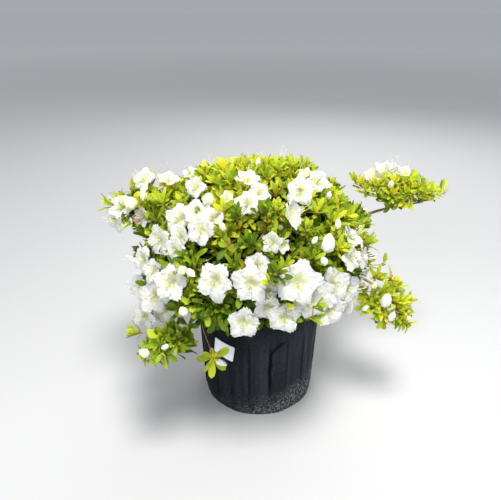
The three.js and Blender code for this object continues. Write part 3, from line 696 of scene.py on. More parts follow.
# What it bears: the style of its whorl, each tried in turn before a rosette, an old leaf that hangs, a bud
# (its piece, how often, its lengths and widths) and an old pistil
STYLE_SHARES = ((0.42, "tuft"), (0.56, "narrow"), (0.7, "open"))
OLD_LEAVES = 0.07
OLD_LEAF = (24, 8, 0.2)
OLD_LEAF_DEPTH = 6
OLD_LEAF_DROOP = 0.4
OLD_LEAF_TILT = 0.1
BUD_STAND = 2
END_BUDS = (("buds_cream", 0.03, (14, 8), (8, 2)), ("buds_green", 0.04, (12, 8), (5, 2)))
OLD_PISTILS = 0.05
OLD_PISTIL = (0.3, 6, 1.1)
OLD_PISTIL_LENGTHS = (32, 12)
OLD_PISTIL_BEND = 0.4
OLD_PISTIL_RISE = 0.15

# Flowers behind: most in a truss, places spread over the crown and the share of them that flower, how far
# round the camera's side ends, the share that are blush, and their sizes, openings and how far out they stand
BACK_FLOWERS = 3
BACK_SPOTS = 70
BACK_BLOOM = 0.62
FACING_CAMERA = -0.05
BACK_BLUSH = 0.12
BACK_SIZES = (0.86, 0.22)
BACK_OPENINGS = (0.85, 0.17)
BACK_STANDS = (2, 6)

# How sunlit a whorl is, painted into the tones of its leaves: by its height, its shape (the crown, then the
# sprays in their order), patches of sun and chance. Whorls of less reach than these stand inside, or deep
# inside, and take tones of painted shade
OUTER_REACH = 0.95
DEEP_REACH = 0.7
INNER_DEEP_SHADE = 0.9
SUN_CLIMB = 0.9
SPRAY_SUN = (0, 0.8, 1.3, 1.45, 1.0)
SUN_PATCHES = 0.25
PATCH_PACES = (0.031, 0.027)
SUN_CHANCE = 0.8
SUN_TONES = ((0.85, "golden"), (0.5, "lime"), (0.12, "bright"), (-0.25, "half_shade"))

# Each kind of leaf: colour, roughness and the share of light that passes through. The kinds from golden
# down to dark are partly leaf colour and partly painted light and shade, paler where sun is painted and
# darker where shade is; old is the leaf's own colour
LEAF_KINDS = {
    "golden": ((0.72, 0.69, 0.055), 0.45, 0.42),
    "young": ((0.58, 0.65, 0.045), 0.45, 0.42),
    "sunlit": ((0.35, 0.46, 0.03), 0.45, 0.38),
    "half_shade": ((0.17, 0.26, 0.015), 0.45, 0.3),
    "mid": ((0.085, 0.155, 0.01), 0.45, 0.25),
    "dark": ((0.022, 0.048, 0.006), 0.45, 0.15),
    "old": ((0.4, 0.17, 0.045), 0.6, 0.2),
}

# A whorl's tone, from painted sunlight down to painted shade: the kinds of its inner and its outer
# leaves, and of a few odd ones
TONES = {
    "golden": ("golden", "young", "sunlit"),
    "lime": ("young", "sunlit", "golden"),
    "bright": ("sunlit", "half_shade", "young"),
    "half_shade": ("half_shade", "mid", "sunlit"),
    "mid": ("mid", "dark", "half_shade"),
    "dark": ("dark", "dark", "mid"),
}

# Petals and other parts of a flower: name, colour, roughness and the share of light that passes through
PETAL_LOOKS = {
    "petals_white": ("petal_white", (0.73, 0.732, 0.725), 0.5, 0.4),
    "petals_blush": ("petal_blush", (0.84, 0.75, 0.66), 0.5, 0.4),
    "tints": ("petal_tint", (0.8, 0.8, 0.71), 0.5, 0.35),
    "throats": ("petal_throat", (0.93, 0.92, 0.6), 0.5, 0.6),
    "stamens": ("stamen_white", (0.85, 0.85, 0.78), 0.5, 0.2),
    "anthers": ("anther_tan", (0.5, 0.44, 0.24), 0.7, 0.1),
    "pistils": ("pistil_pale", (0.72, 0.74, 0.5), 0.5, 0.2),
    "buds_white": ("bud_white", (0.86, 0.86, 0.82), 0.5, 0.2),
    "buds_cream": ("bud_cream", (0.86, 0.86, 0.6), 0.5, 0.2),
}
SCALE_LOOK = ("scale_tan", (0.46, 0.22, 0.07), 0.6, 0.2)
GREEN_BUD_LOOK = ("bud_green", (0.5, 0.6, 0.15), 0.5, 0.2)


def unit(vector):
    return vector / np.linalg.norm(vector)


def seeded(seed):
    """Numbers from 0 to 1 that are the same on every run."""
    state = seed

    def draw():
        nonlocal state
        state = state * SEED_MULTIPLIER % SEED_MODULUS
        return state / SEED_MODULUS

    return draw


def dealt(least_and_more, random):
    """A random value of at least the first number, and by up to the second more."""
    return least_and_more[0] + least_and_more[1] * random()


def either_way(spread, random):
    return (random() - 0.5) * spread


def bezier(start, bend, end, steps):
    share = np.linspace(0, 1, steps + 1)[:, None]
    return (1 - share) ** 2 * start + 2 * share * (1 - share) * bend + share**2 * end


def along_path(path, share):
    at = share * (len(path) - 1)
    step = min(math.floor(at), len(path) - 2)
    return path[step] + (path[step + 1] - path[step]) * (at - step)


def square_to(way, turn):
    """A direction square to a given one, turned about it."""
    helper = UP if abs(way[2]) < NEARLY_UPRIGHT else ACROSS
    first = unit(np.cross(helper, way))
    return first * math.cos(turn) + np.cross(way, first) * math.sin(turn)


def square_part(way, other):
    """The direction nearest to a given one that is square to another."""
    return unit(way - other * (way @ other))


def facing(azimuth, elevation):
    """A direction from its degrees to the right of the front and up."""
    turn, rise = math.radians(azimuth), math.radians(elevation)
    return np.array([math.cos(rise) * math.sin(turn), -math.cos(rise) * math.cos(turn), math.sin(rise)])


def around(out, turn, height):
    """Points by how far out they lie from the pot's axis, their turns from the front and their height."""
    return np.stack([out * np.sin(turn), -out * np.cos(turn), np.broadcast_to(height, turn.shape)], axis=-1)


def leaned(way, spoke, lean):
    return way * math.cos(lean) + spoke * math.sin(lean)


def outward_at(place):
    middle, radii = np.array(CROWN[0]), np.array(CROWN[1])
    return unit((place - middle) / radii / radii)


# Limbs

MIDDLES = np.array([bough[5] for bough in BOUGHS], float)
OWNERS = {bough[0]: i for i, bough in enumerate(BOUGHS)}


def limb_paths():
    """Every limb's centre line and radii, the trunk's first, as its solid has them."""
    foot, fork = SOIL_TOP + GAP, np.array(TRUNK_TOP, float)
    share = np.array(TRUNK_HEIGHTS)
    trunk = np.stack([fork[0] * share**2, fork[1] * share**2, foot + (fork[2] - foot) * share], axis=1)
    limbs = {"trunk": (trunk, np.array(TRUNK_RADII))}
    for name, parent, start_share, tip, radii, _ in BOUGHS:
        start, bend, end = bough_curve(limbs[parent][0], start_share, tip)
        path = bezier(start, bend, end, BOUGH_STEPS)
        limbs[name] = (path, np.linspace(*radii, BOUGH_STEPS + 1))
    return limbs


def bough_curve(parent_path, start_share, tip):
    start = along_path(parent_path, start_share)
    end = np.array(tip, float)
    reach = np.linalg.norm(end - start)
    bend = start + (end - start) * BOUGH_BEND + UP * BOUGH_ARCH * reach
    return start, bend, end


# Shoots


class Shoot:
    """A place where a twig ends, with the flowers it bears, how far out of its shape it stands, which whorl
    of leaves it has where that is chosen (the way it points, its style and its tone), and whether the
    rule grows its twig."""

    def __init__(self, place, flowers=0, reach=1.0, shape=0, whorl=None, grown=True):
        self.place = place
        self.flowers = flowers
        self.reach = reach
        self.shape = shape
        self.whorl = whorl
        self.grown = grown


def spiral(count, shift=0.0):
    """Directions spread evenly over a sphere, from its top down."""
    for i in range(count):
        height = 1 - (2 * i + 1) / count
        flat, turn = math.sqrt(1 - height * height), i * GOLDEN_ANGLE + shift
        yield np.array([flat * math.sin(turn), -flat * math.cos(turn), height])


def shoots_on(shape, number, random):
    middle, radii, directions, _, lowest = shape
    shoots = []
    for way in spiral(directions):
        reach = 1 - UNEVENNESS + UNEVENNESS * UNEVEN_SPREAD * random()
        bloom = random() < BLOOM_SHARE
        if way[2] < lowest:
            continue
        place = way * (np.array(radii) - SHOOT_DEPTH) * reach + middle
        behind = place[1] > max(BLOOM_FROM_Y, place[2] - CROWN[0][2])
        shoots.append(Shoot(place, 1 if bloom and behind else 0, reach, number))
    return shoots


def truss_shoot(azimuth, elevation, reach, flowers):
    radii = np.array(CROWN[1]) * reach - SHOOT_DEPTH
    return Shoot(facing(azimuth, elevation) * radii + CROWN[0], flowers, reach)


def main_shoots():
    random = seeded(SEED)
    shoots = [truss_shoot(*truss) for truss in TRUSSES]
    shoots.append(Shoot(np.array(HANGING_SPRIG, float), grown=False))
    for number, shape in [*enumerate(SPRAYS, 1), (0, CROWN)]:
        for shoot in shoots_on(shape, number, random):
            if all(np.linalg.norm(other.place - shoot.place) >= SHOOT_SPACING for other in shoots):
                shoots.append(shoot)
    return shoots


def depths_towards(points, owner):
    """How far points lie on the owner's side of the plane midway to each other mass."""
    squares = ((points[..., None, :] - MIDDLES) ** 2).sum(-1)
    apart = np.linalg.norm(MIDDLES - MIDDLES[owner], axis=1)
    apart[owner] = 1
    depths = (squares - squares[..., owner, None]) / (2 * apart)
    depths[..., owner] = np.inf
    return depths


def depth_in_space(points, owner):
    return depths_towards(np.asarray(points), owner).min(-1)


def keep_in(shoot, owner):
    """Moves a shoot's end back from the planes that bound its mass."""
    room = TRUSS_ROOM if shoot.flowers else SHOOT_ROOM
    place = shoot.place.copy()
    for other in range(len(BOUGHS)):
        if other == owner:
            continue
        short = room - depths_towards(place, owner)[other]
        if short > 0:
            place = place + unit(MIDDLES[owner] - MIDDLES[other]) * short
    return Shoot(place, shoot.flowers, shoot.reach, shoot.shape)


# Clearances


def segment_distances(a, b, starts, ends):
    """Least distances from the segment a-b to each of many segments."""
    u, v, w = b - a, ends - starts, a - starts
    uu, uv, vv = u @ u, v @ u, (v * v).sum(1)
    uw, vw = w @ u, (v * w).sum(1)
    spread = uu * vv - uv * uv
    askew = spread > NEARLY_PARALLEL
    s = np.where(askew, np.clip((uv * vw - vv * uw) / np.where(askew, spread, 1), 0, 1), 0)
    t = np.clip((uv * s + vw) / vv, 0, 1)
    again = np.clip((uv * t - uw) / uu, 0, 1)
    return np.linalg.norm(a + again[:, None] * u - starts - t[:, None] * v, axis=1)


def limb_segments(limbs):
    starts = np.concatenate([path[:-1] for path, _ in limbs.values()])
    ends = np.concatenate([path[1:] for path, _ in limbs.values()])
    thick = np.concatenate([np.maximum(radii[:-1], radii[1:]) for _, radii in limbs.values()])
    return starts, ends, thick


def clear_of_pot(points, room):
    """Whether points lie outside the pot's wall and soil."""
    out = np.hypot(points[..., 0], points[..., 1])
    above = points[..., 2] > POT_HEIGHT + room
    outside = out > LIP_RADIUS + room
    inside = (out < LIP_RADIUS - LIP_THICKNESS - room) & (points[..., 2] > SOIL_TOP + room)
    return above | outside | inside


def clear_of_rest(a, b, radius, segments):
    """Whether a rod from a to b stands clear of every limb, the pot and the soil."""
    starts, ends, thick = segments
    if (segment_distances(a, b, starts, ends) < radius + thick + MARGIN).any():
        return False
    points = a + (b - a) * np.linspace(0, 1, ROD_POINTS)[:, None]
    return bool(clear_of_pot(points, radius + 2 * MARGIN).all())


# Twigs


class Tree:
    """The twigs of one mass. Nodes marked main are those that the solid's twigs have too."""

    def __init__(self, foot, heading):
        top = foot + heading * STEM_LENGTH
        self.places = [foot, top]
        self.ways = [heading, heading]
        self.runs = [0, STEM_LENGTH]
        self.parents = [-1, 0]
        self.main = [False, True]
        self.lines = [[0, 1]]
        self.ends = []

    def add(self, place, way, run, parent, main):
        self.places.append(place)
        self.ways.append(way)
        self.runs.append(run)
        self.parents.append(parent)
        self.main.append(main)
        return len(self.places) - 1

    def best_start(self, place, main_only):
        """The node from which a twig's length, way back to the stem and turn are small."""
        toward = place - np.array(self.places)
        length = np.linalg.norm(toward, axis=1)
        turn = 1 - (np.array(self.ways) * toward).sum(1) / np.maximum(length, 1)
        cost = length * (1 + TURN_WEIGHT * turn) + RUN_WEIGHT * np.array(self.runs)
        cost[0] = np.inf
        if main_only:
            cost[~np.array(self.main)] = np.inf
        return int(np.argmin(cost))

    def grow_main(self, shoot, owner, segments):
        """Grows one of the solid's twigs, with more points along it."""
        start = self.best_start(shoot.place, True)
        origin = self.places[start]
        length = np.linalg.norm(shoot.place - origin)
        bend = origin + self.ways[start] * SWAY * length
        steps = max(math.floor(length / TWIG_STEP + 0.5), 1)
        coarse = bezier(origin, bend, shoot.place, steps)
        if (depth_in_space(coarse, owner) < 3 * MAIN_TWIG_RADIUS + MARGIN).any():
            return
        for a, b in zip(coarse[:-1], coarse[1:]):
            if not clear_of_rest(a, b, 2 * MAIN_TWIG_RADIUS, segments):
                return
        fine = bezier(origin, bend, shoot.place, steps * FINER)
        line, run = [start], self.runs[start]
        for i in range(1, len(fine)):
            main = i % FINER == 0
            number = i // FINER
            if main:
                run += np.linalg.norm(coarse[number] - coarse[number - 1])
                way = unit(coarse[number] - coarse[number - 1])
            else:
                way = unit(fine[i] - fine[i - 1])
            line.append(self.add(fine[i], way, run, line[-1], main))
        self.lines.append(line)
        self.ends.append((line[-1], line[-1 - FINER], shoot))

    def grow_fine(self, shoot, segments):
        """Grows a finer twig from whichever twig is handiest."""
        start = self.best_start(shoot.place, False)
        origin = self.places[start]
        length = np.linalg.norm(shoot.place - origin)
        if length < FINE_STEP:
            return False
        bend = origin + self.ways[start] * SWAY * length
        points = bezier(origin, bend, shoot.place, max(round(length / FINE_STEP), 2))
        if not clear_of_pot(points, POT_ROOM).all():
            return False
        if not clear_of_rest(points[1], points[-1], TWIG_RADIUS, segments):
            return False
        line = [start]
        for before, after in zip(points[:-1], points[1:]):
            pace = np.linalg.norm(after - before)
            line.append(self.add(after, (after - before) / pace, self.runs[line[-1]] + pace, line[-1], False))
        self.lines.append(line)
        self.ends.append((line[-1], line[-2], shoot))
        return True

    def radii(self, most):
        """A twig is as thick as the twigs that leave it need."""
        load = np.zeros(len(self.places))
        for i in range(len(load) - 1, -1, -1):
            if load[i] == 0:
                load[i] = TWIG_RADIUS**TWIG_JOIN_POWER
            if self.parents[i] >= 0:
                load[self.parents[i]] += load[i]
        return np.minimum(load ** (1 / TWIG_JOIN_POWER), most)


# Meshes


def linked(name, data):
    obj = bpy.data.objects.new(name, data)
    bpy.context.scene.collection.objects.link(obj)
    return obj


class Piece:
    """Gathers the points, in mm, and the triangles or quads of one joined piece."""

    def __init__(self, name):
        self.name = name
        self.points = []
        self.faces = []
        self.count = 0

    def add(self, points, *faces):
        """Adds points and the faces between them: one or more lists, each of faces with as many corners."""
        self.points.append(points)
        for alike in faces:
            self.faces.extend((np.asarray(alike) + self.count).tolist())
        self.count += len(points)

    def make(self, slot, material, nodes):
        mesh = bpy.data.meshes.new(self.name)
        mesh.from_pydata(np.concatenate(self.points) * MM, [], self.faces, shade_flat=False)
        mesh.validate()
        mesh.materials.append(material)
        obj = linked(self.name, mesh)
        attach(obj, "root")
        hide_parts(*nodes)


def grid_faces(rows, columns, closed=False):
    """Quads between the points of a grid, row by row; a closed grid joins its last column to its first."""
    across = columns if closed else columns - 1
    row, column = np.meshgrid(np.arange(rows - 1), np.arange(across), indexing="ij")
    following = (column + 1) % columns
    here, there = row * columns, (row + 1) * columns
    quads = np.stack([here + column, here + following, there + following, there + column], axis=-1)
    return quads.reshape(-1, 4)


def tube(path, radii, sides, relief=None):
    """Points and faces of a closed tube along a path. relief is how much wider it is, by ring and side."""
    turn = np.arange(sides) * FULL_TURN / sides
    rings = []
    across = None
    for i, place in enumerate(path):
        along = unit(path[min(i + 1, len(path) - 1)] - path[max(i - 1, 0)])
        if across is None:
            across = ACROSS if abs(along[2]) > NEARLY_UPRIGHT else UP
        across = square_part(across, along)
        other = np.cross(along, across)
        radius = radii[i] * (1 if relief is None else relief[i])
        spokes = np.cos(turn)[:, None] * across + np.sin(turn)[:, None] * other
        rings.append(place + spokes * np.broadcast_to(radius, sides)[:, None])
    points = np.concatenate([*rings, [path[0], path[-1]]])
    side = np.arange(sides)
    following = (side + 1) % sides
    last = (len(path) - 1) * sides
    foot = np.full(sides, len(points) - 2)
    near = np.stack([foot, following, side], axis=1)
    far = np.stack([foot + 1, last + side, last + following], axis=1)
    return points, grid_faces(len(path), sides, closed=True), np.concatenate([near, far])


# Materials


def shader_of(material):
    material.use_nodes = True
    return material.node_tree.nodes["Principled BSDF"]


def leafy(name, colour, roughness, through):
    """A satin leaf or petal that lets some light through."""
    material = bpy.data.materials.new(name)
    shader = shader_of(material)
    shader.inputs["Base Color"].default_value = (*colour, 1)
    shader.inputs["Roughness"].default_value = roughness
    shader.inputs["Specular IOR Level"].default_value = LEAF_SHINE
    tree = material.node_tree
    glow = tree.nodes.new("ShaderNodeBsdfTranslucent")
    glow.inputs["Color"].default_value = (*colour, 1)
    mix = tree.nodes.new("ShaderNodeMixShader")
    mix.inputs[0].default_value = through
    tree.links.new(shader.outputs[0], mix.inputs[1])
    tree.links.new(glow.outputs[0], mix.inputs[2])
    tree.links.new(mix.outputs[0], tree.nodes["Material Output"].inputs[0])
    return material


class Pattern:
    """Adds the nodes of one material, in the object's own coordinates. A value is a number or a socket."""

    def __init__(self, name, roughness):
        self.material = bpy.data.materials.new(name)
        self.shader = shader_of(self.material)
        self.shader.inputs["Roughness"].default_value = roughness
        self.tree = self.material.node_tree
        self.place = self.tree.nodes.new("ShaderNodeTexCoord").outputs["Object"]

    def node(self, kind, values, **settings):
        node = self.tree.nodes.new(kind)
        for key, value in settings.items():
            setattr(node, key, value)
        for socket, value in values.items():
            if isinstance(value, bpy.types.NodeSocket):
                self.tree.links.new(value, node.inputs[socket])
            else:
                node.inputs[socket].default_value = value
        return node

    def noise(self, scale, detail=4.0, roughness=0.55, stretch=(1, 1, 1)):
        spot = self.node("ShaderNodeMapping", {"Vector": self.place, "Scale": stretch}).outputs[0]
        values = {"Vector": spot, "Scale": scale, "Detail": detail, "Roughness": roughness}
        return self.node("ShaderNodeTexNoise", values).outputs["Fac"]

    def math(self, operation, *values, clamp=False):
        node = self.node("ShaderNodeMath", dict(enumerate(values)), operation=operation, use_clamp=clamp)
        return node.outputs[0]

    def times(self, first, *others):
        for other in others:
            first = self.math("MULTIPLY", first, other)
        return first

    def times_plus(self, first, second, third, clamp=False):
        return self.math("MULTIPLY_ADD", first, second, third, clamp=clamp)

    def span(self, value, low, high, to_low=0.0, to_high=1.0):
        """value from low to high, as to_low to to_high, and no further."""
        values = {"Value": value, "From Min": low, "From Max": high, "To Min": to_low, "To Max": to_high}
        return self.node("ShaderNodeMapRange", values).outputs[0]

    def patches(self, noise, *ends):
        """Where a noise of these settings is strong, between ends as span has them."""
        return self.span(self.noise(*noise), *ends)

    def mix(self, share, first, second):
        values = {0: share}
        for socket, colour in ((6, first), (7, second)):
            values[socket] = (*colour, 1) if isinstance(colour, tuple) else colour
        return self.node("ShaderNodeMix", values, data_type="RGBA").outputs[2]

    def axes(self):
        return self.node("ShaderNodeSeparateXYZ", {0: self.place}).outputs

    def link(self, name, socket):
        self.tree.links.new(socket, self.shader.inputs[name])

    def relief(self, noise, depth, strength):
        values = {"Height": self.noise(*noise), "Distance": depth, "Strength": strength}
        self.link("Normal", self.node("ShaderNodeBump", values).outputs[0])


def pot_material():
    """Matte black plastic with dried runs and splashes, thickest low on its right, and a dark wet streak.
    Pale bands of painted sheen lie on its right and low, and painted shade along the panels' edges.
    """
    pattern = Pattern("pot_plastic", POT_ROUGHNESS)
    x, y, z = pattern.axes()
    right = pattern.span(x, *POT_RIGHT)
    low = pattern.span(pattern.times_plus(right, GRIME_SLOPE, z), *GRIME_HEIGHTS)
    spread = pattern.times_plus(right, *GRIME_SPREAD)
    grime = pattern.times_plus(pattern.math("POWER", low, GRIME_POWER), spread, GRIME_LEAST, clamp=True)
    # Painted sheen: pale bands where light glances off the right of the pot and its lower part
    lit = pattern.times(pattern.span(x, *LIT_ACROSS), pattern.span(z, *LIT_HEIGHTS))
    # Painted shade: darker along the panels' edges, below their rounded tops
    turn = pattern.math("ARCTAN2", x, pattern.times(y, -1.0))
    off = pattern.math("SUBTRACT", pattern.math("PINGPONG", turn, math.pi / PANEL_COUNT), PANEL_HALF_ANGLE)
    edge_shade = pattern.span(pattern.math("ABSOLUTE", off), *EDGE_SHADE_TURNS)
    streak = wet_streak(pattern)
    colour = POT_DARK
    for share, over in (
        (pattern.times(pattern.patches(*POT_SHEEN_BANDS), lit), POT_PAINTED_SHEEN),
        (pattern.times(edge_shade, pattern.span(z, *EDGE_SHADE_HEIGHTS)), POT_DARK),
        (pattern.times(pattern.patches(*POT_RUNS), pattern.span(x, *RUNS_ACROSS), RUNS_SHARE), POT_DUST),
        (pattern.times(pattern.patches(*POT_DUSTING), grime, DUST_SHARE), POT_DUST),
        (pattern.times(pattern.patches(*POT_SPECKS), grime, SPLASH_SHARE), POT_SPLASH),
        (streak, POT_WET),
    ):
        colour = pattern.mix(share, colour, over)
    pattern.link("Base Color", colour)
    pattern.link("Specular IOR Level", pattern.times_plus(streak, -POT_SHINE, POT_SHINE))
    pattern.relief(*POT_RELIEF)
    return pattern.material


def wet_streak(pattern):
    """How wet a place is: water has run from under the lip, to the left and then straight down."""
    x, y, z = pattern.axes()
    climb = pattern.span(z, STREAK_BEND, STREAK_TOP)
    steep = pattern.times(climb, climb)
    middle = pattern.times_plus(steep, STREAK_SHIFT, STREAK_X)
    wander = pattern.times_plus(pattern.noise(*STREAK_NOISE), STREAK_WANDER, -STREAK_WANDER / 2)
    away = pattern.math("ABSOLUTE", pattern.math("ADD", pattern.math("SUBTRACT", x, middle), wander))
    wide = pattern.times_plus(pattern.times(steep, steep), STREAK_HEAD, 1.0)
    across = pattern.span(pattern.math("DIVIDE", away, wide), *STREAK_EDGE)
    below = pattern.span(z, STREAK_TOP + STREAK_FADE, STREAK_TOP - STREAK_FADE / 2)
    above = pattern.span(z, STREAK_END, STREAK_END + STREAK_TAIL)
    return pattern.times(across, below, above, pattern.span(y, *STREAK_FRONT), STREAK_SHARE)


def surface(kind):
    """A patterned material of two tones with patches of a third and a relief, from its row of SURFACES."""
    name, roughness, tones, dark, pale, patches, third, relief = SURFACES[kind]
    pattern = Pattern(name, roughness)
    colour = pattern.mix(pattern.patches(*tones), dark, pale)
    if patches:
        colour = pattern.mix(pattern.patches(*patches), colour, third)
    pattern.link("Base Color", colour)
    pattern.relief(*relief)
    return pattern


# The pot, its soil and its label


def pot_radius(height):
    return POT_BASE_RADIUS + (POT_TOP_RADIUS - POT_BASE_RADIUS) * height / POT_HEIGHT


def smooth_step(value, low, high):
    share = np.clip((value - low) / (high - low), 0, 1)
    return share * share * (3 - 2 * share)


def panel_depth(turn, height):
    """How deep the wall lies at a place: panels with soft edges and rounded tops."""
    pitch = FULL_TURN / PANEL_COUNT
    off = np.abs(turn - pitch * np.round(turn / pitch))
    rise = np.clip((height - PANEL_SHOULDER) / (PANEL_TOP - PANEL_SHOULDER), 0, 1)
    half = PANEL_HALF_ANGLE * np.sqrt(1 - rise * rise)
    return PANEL_DEPTH * smooth_step(half - off, -PANEL_EDGE / 2, PANEL_EDGE / 2) * (height < PANEL_TOP)


def rounded_lip():
    """The lip's section, from the wall below it round to the inside, with rounded corners."""
    low, inner = POT_HEIGHT - LIP_HEIGHT, LIP_RADIUS - LIP_THICKNESS
    corners = ((LIP_RADIUS, low, 1, -1), (LIP_RADIUS, POT_HEIGHT, 1, 1), (inner, POT_HEIGHT, -1, 1))
    points = [(pot_radius(low), low)]
    for number, (radius, height, side, end) in enumerate(corners):
        x, z = radius - side * LIP_ROUNDING, height - end * LIP_ROUNDING
        for angle in np.linspace(0, math.pi / 2, LIP_STEPS) + (number - 1) * math.pi / 2:
            points.append((x + LIP_ROUNDING * math.cos(angle), z + LIP_ROUNDING * math.sin(angle)))
    return points


def build_pot():
    """The pot, by its section from the middle of its underside round to the middle of its floor. A point of
    the section has a radius, a height and its share of the panels' depth."""
    columns = PANEL_COUNT * STEPS_PER_PANEL
    turn = np.arange(columns) * FULL_TURN / columns
    low = POT_HEIGHT - LIP_HEIGHT
    section = [(NO_RADIUS, 0, 0), (POT_BASE_RADIUS / 2, 0, 0)]
    section += [(POT_BASE_RADIUS - inset, height, share) for inset, height, share in POT_FOOT]
    section += [(pot_radius(height), height, 1) for height in np.arange(WALL_STEP, low - 1, WALL_STEP)]
    section += [(radius, height, 0) for radius, height in rounded_lip()]
    inside = np.linspace(low - LIP_THICKNESS, POT_FLOOR, INSIDE_ROWS)
    section += [(pot_radius(height) - POT_WALL, height, 1) for height in inside]
    section += [(NO_RADIUS, POT_FLOOR, 0)]
    rows = []
    for radius, height, share in section:
        rows.append(around(radius - share * panel_depth(turn, height), turn, height))
    pot = Piece("pot_shell")
    pot.add(np.concatenate(rows), grid_faces(len(rows), columns, closed=True))
    pot.make("pot", pot_material(), ["pot"])


def build_soil(random):
    """A crumbly top that fills the pot, with bark chips lying on it."""
    soil = Piece("potting_mix")
    turn = np.arange(SOIL_COLUMNS) * FULL_TURN / SOIL_COLUMNS
    rows = []
    for ring in range(SOIL_RINGS + 1):
        radius = SOIL_HOLE + (SOIL_RADIUS - SOIL_HOLE) * ring / SOIL_RINGS
        row = around(radius, turn, SOIL_TOP - SOIL_SINK)
        for scale, layer, height in SOIL_SWELLS:
            row[:, 2] += [height * noise.noise(Vector((x * scale, y * scale, layer))) for x, y in row[:, :2]]
        rows.append(row)
    for radius, height in SOIL_SIDE:
        rows.append(around(radius, turn, height))
    soil.add(np.concatenate(rows), grid_faces(len(rows), SOIL_COLUMNS, closed=True)[:, ::-1])
    for _ in range(CHIPS):
        out, angle = SOIL_RADIUS * math.sqrt(random()) * CHIPS_REACH, random() * FULL_TURN
        size = np.array([dealt(side, random) for side in CHIP_SIZES])
        if out < TRUNK_RADII[0] + size[0]:
            continue
        corners = np.array([[a, b, c] for a in (-0.5, 0.5) for b in (-0.5, 0.5) for c in (-0.5, 0.5)])
        corners += (np.array([random() for _ in range(24)]).reshape(8, 3) - 0.5) * CHIP_ROUGHNESS
        spin, tip = random() * math.pi, either_way(CHIP_TIP, random)
        flat = corners * size
        first = np.array([math.cos(spin), math.sin(spin), math.sin(tip)])
        second = np.array([-math.sin(spin), math.cos(spin), 0])
        points = flat[:, :1] * first + flat[:, 1:2] * second + flat[:, 2:] * UP
        height = SOIL_TOP - CHIP_SINK + random()
        soil.add(points + np.array([out * math.cos(angle), out * math.sin(angle), height]), CHIP_FACES)
    soil.make("soil", surface("soil").material, ["soil"])


def build_label():
    """A thin plate with round corners, bent round the pot's wall."""
    columns, rows = LABEL_GRID
    along, up = np.meshgrid(np.linspace(-1, 1, columns), np.linspace(-1, 1, rows))
    half_width, half_height = LABEL_WIDTH / 2, LABEL_HEIGHT / 2
    x, z = along * half_width, up * half_height
    over_x = np.maximum(np.abs(x) - (half_width - LABEL_CORNER), 0)
    over_z = np.maximum(np.abs(z) - (half_height - LABEL_CORNER), 0)
    far = np.maximum(np.hypot(over_x, over_z), LABEL_CORNER)
    pull = 1 - LABEL_CORNER / far
    x, z = x - np.sign(x) * over_x * pull, z - np.sign(z) * over_z * pull
    tilted_x = x * math.cos(LABEL_TILT) + z * math.sin(LABEL_TILT)
    height = LABEL_MIDDLE_HEIGHT - x * math.sin(LABEL_TILT) + z * math.cos(LABEL_TILT)
    wall = pot_radius(height)
    turn = LABEL_AZIMUTH + tilted_x / wall
    sheets = [around(wall + lift, turn, height).reshape(-1, 3) for lift in (GAP, GAP + LABEL_THICKNESS)]
    quads = grid_faces(rows, columns)
    size = rows * columns
    rim = [*range(columns), *range(2 * columns - 1, size, columns)]
    rim += [*range(size - 2, size - columns - 1, -1), *range(size - 2 * columns, 0, -columns)]
    edge = [[a, b, b + size, a + size] for a, b in zip(rim, rim[1:] + rim[:1])]
    label = Piece("blank_label")
    label.add(np.concatenate(sheets), quads[:, ::-1], quads + size, edge)
    film = surface("label")
    film.link("Roughness", film.times_plus(film.noise(*LABEL_GLOSS_NOISE), *LABEL_GLOSS))
    label.make("label", film.material, ["label"])


# Limbs with bark relief


def build_limbs(limbs):
    wood = Piece("limbs_with_bark")
    fine = np.linspace(0, 1, TRUNK_RINGS)
    path = np.stack([np.interp(fine, TRUNK_HEIGHTS, limbs["trunk"][0][:, i]) for i in range(3)], axis=1)
    add_limb(wood, path, np.interp(fine, TRUNK_HEIGHTS, TRUNK_RADII), TRUNK_SIDES)
    for _, parent, start_share, tip, ends, _ in BOUGHS:
        start, bend, end = bough_curve(limbs[parent][0], start_share, tip)
        steps = max(round(np.linalg.norm(end - start) / BARK_STEP), BARK_LEAST_STEPS)
        add_limb(wood, bezier(start, bend, end, steps), np.linspace(*ends, steps + 1), BOUGH_SIDES)
    wood.make("bark", surface("bark").material, ["trunk", *(f"bough_{bough[0]}" for bough in BOUGHS)])


def add_limb(wood, path, radii, sides):
    """One limb, with long ridges, cracks and a few swellings in its bark."""
    relief = np.ones((len(path), sides))
    for i, place in enumerate(path):
        knots = noise.noise(Vector(place * KNOT_SCALE))
        climb = place[2] * RIDGE_STRETCH[0] + place[0] * RIDGE_STRETCH[1]
        for side in range(sides):
            turn = FULL_TURN * side / sides
            spot = Vector((math.cos(turn) * RIDGE_SPREAD, math.sin(turn) * RIDGE_SPREAD, climb))
            ridges = noise.noise(spot * RIDGE_SCALE + Vector((0, 0, i * RIDGE_BREAK)))
            relief[i, side] = 1 + RIDGE_HEIGHT * ridges + KNOT_HEIGHT * knots
    wood.add(*tube(path, radii, sides, relief))


# Flowers


class Flower:
    """A flower's foot, the way it faces, its turn about that way, its size, how wide it is open, its kind and
    the shape that it stands on."""

    def __init__(self, foot, way, turn, size, opening, kind, shape=0):
        self.foot = foot
        self.way = way
        self.size = size
        self.opening = opening
        self.kind = kind
        self.shape = shape
        self.first = square_to(way, turn)
        self.second = np.cross(way, self.first)

    def spoke(self, turn):
        """A direction square to the flower's own, turned about it."""
        return self.first * math.cos(turn) + self.second * math.sin(turn)

    def place(self, number, out, aside, height):
        """Points of a petal from how far out, aside and high they lie."""
        turn = number * FULL_TURN / PETALS
        square = self.second * math.cos(turn) - self.first * math.sin(turn)
        out, aside, height = (np.asarray(value)[..., None] for value in (out, aside, height))
        return self.foot + (out * self.spoke(turn) + aside * square + height * self.way) * self.size


def ripple(size_and_pace, along, phase):
    """A wave by its size and how many radians it runs through where along grows by 1."""
    return size_and_pace[0] * np.sin(size_and_pace[1] * along + phase)


def ridge(across, width):
    return np.exp(-((across / width) ** 2))


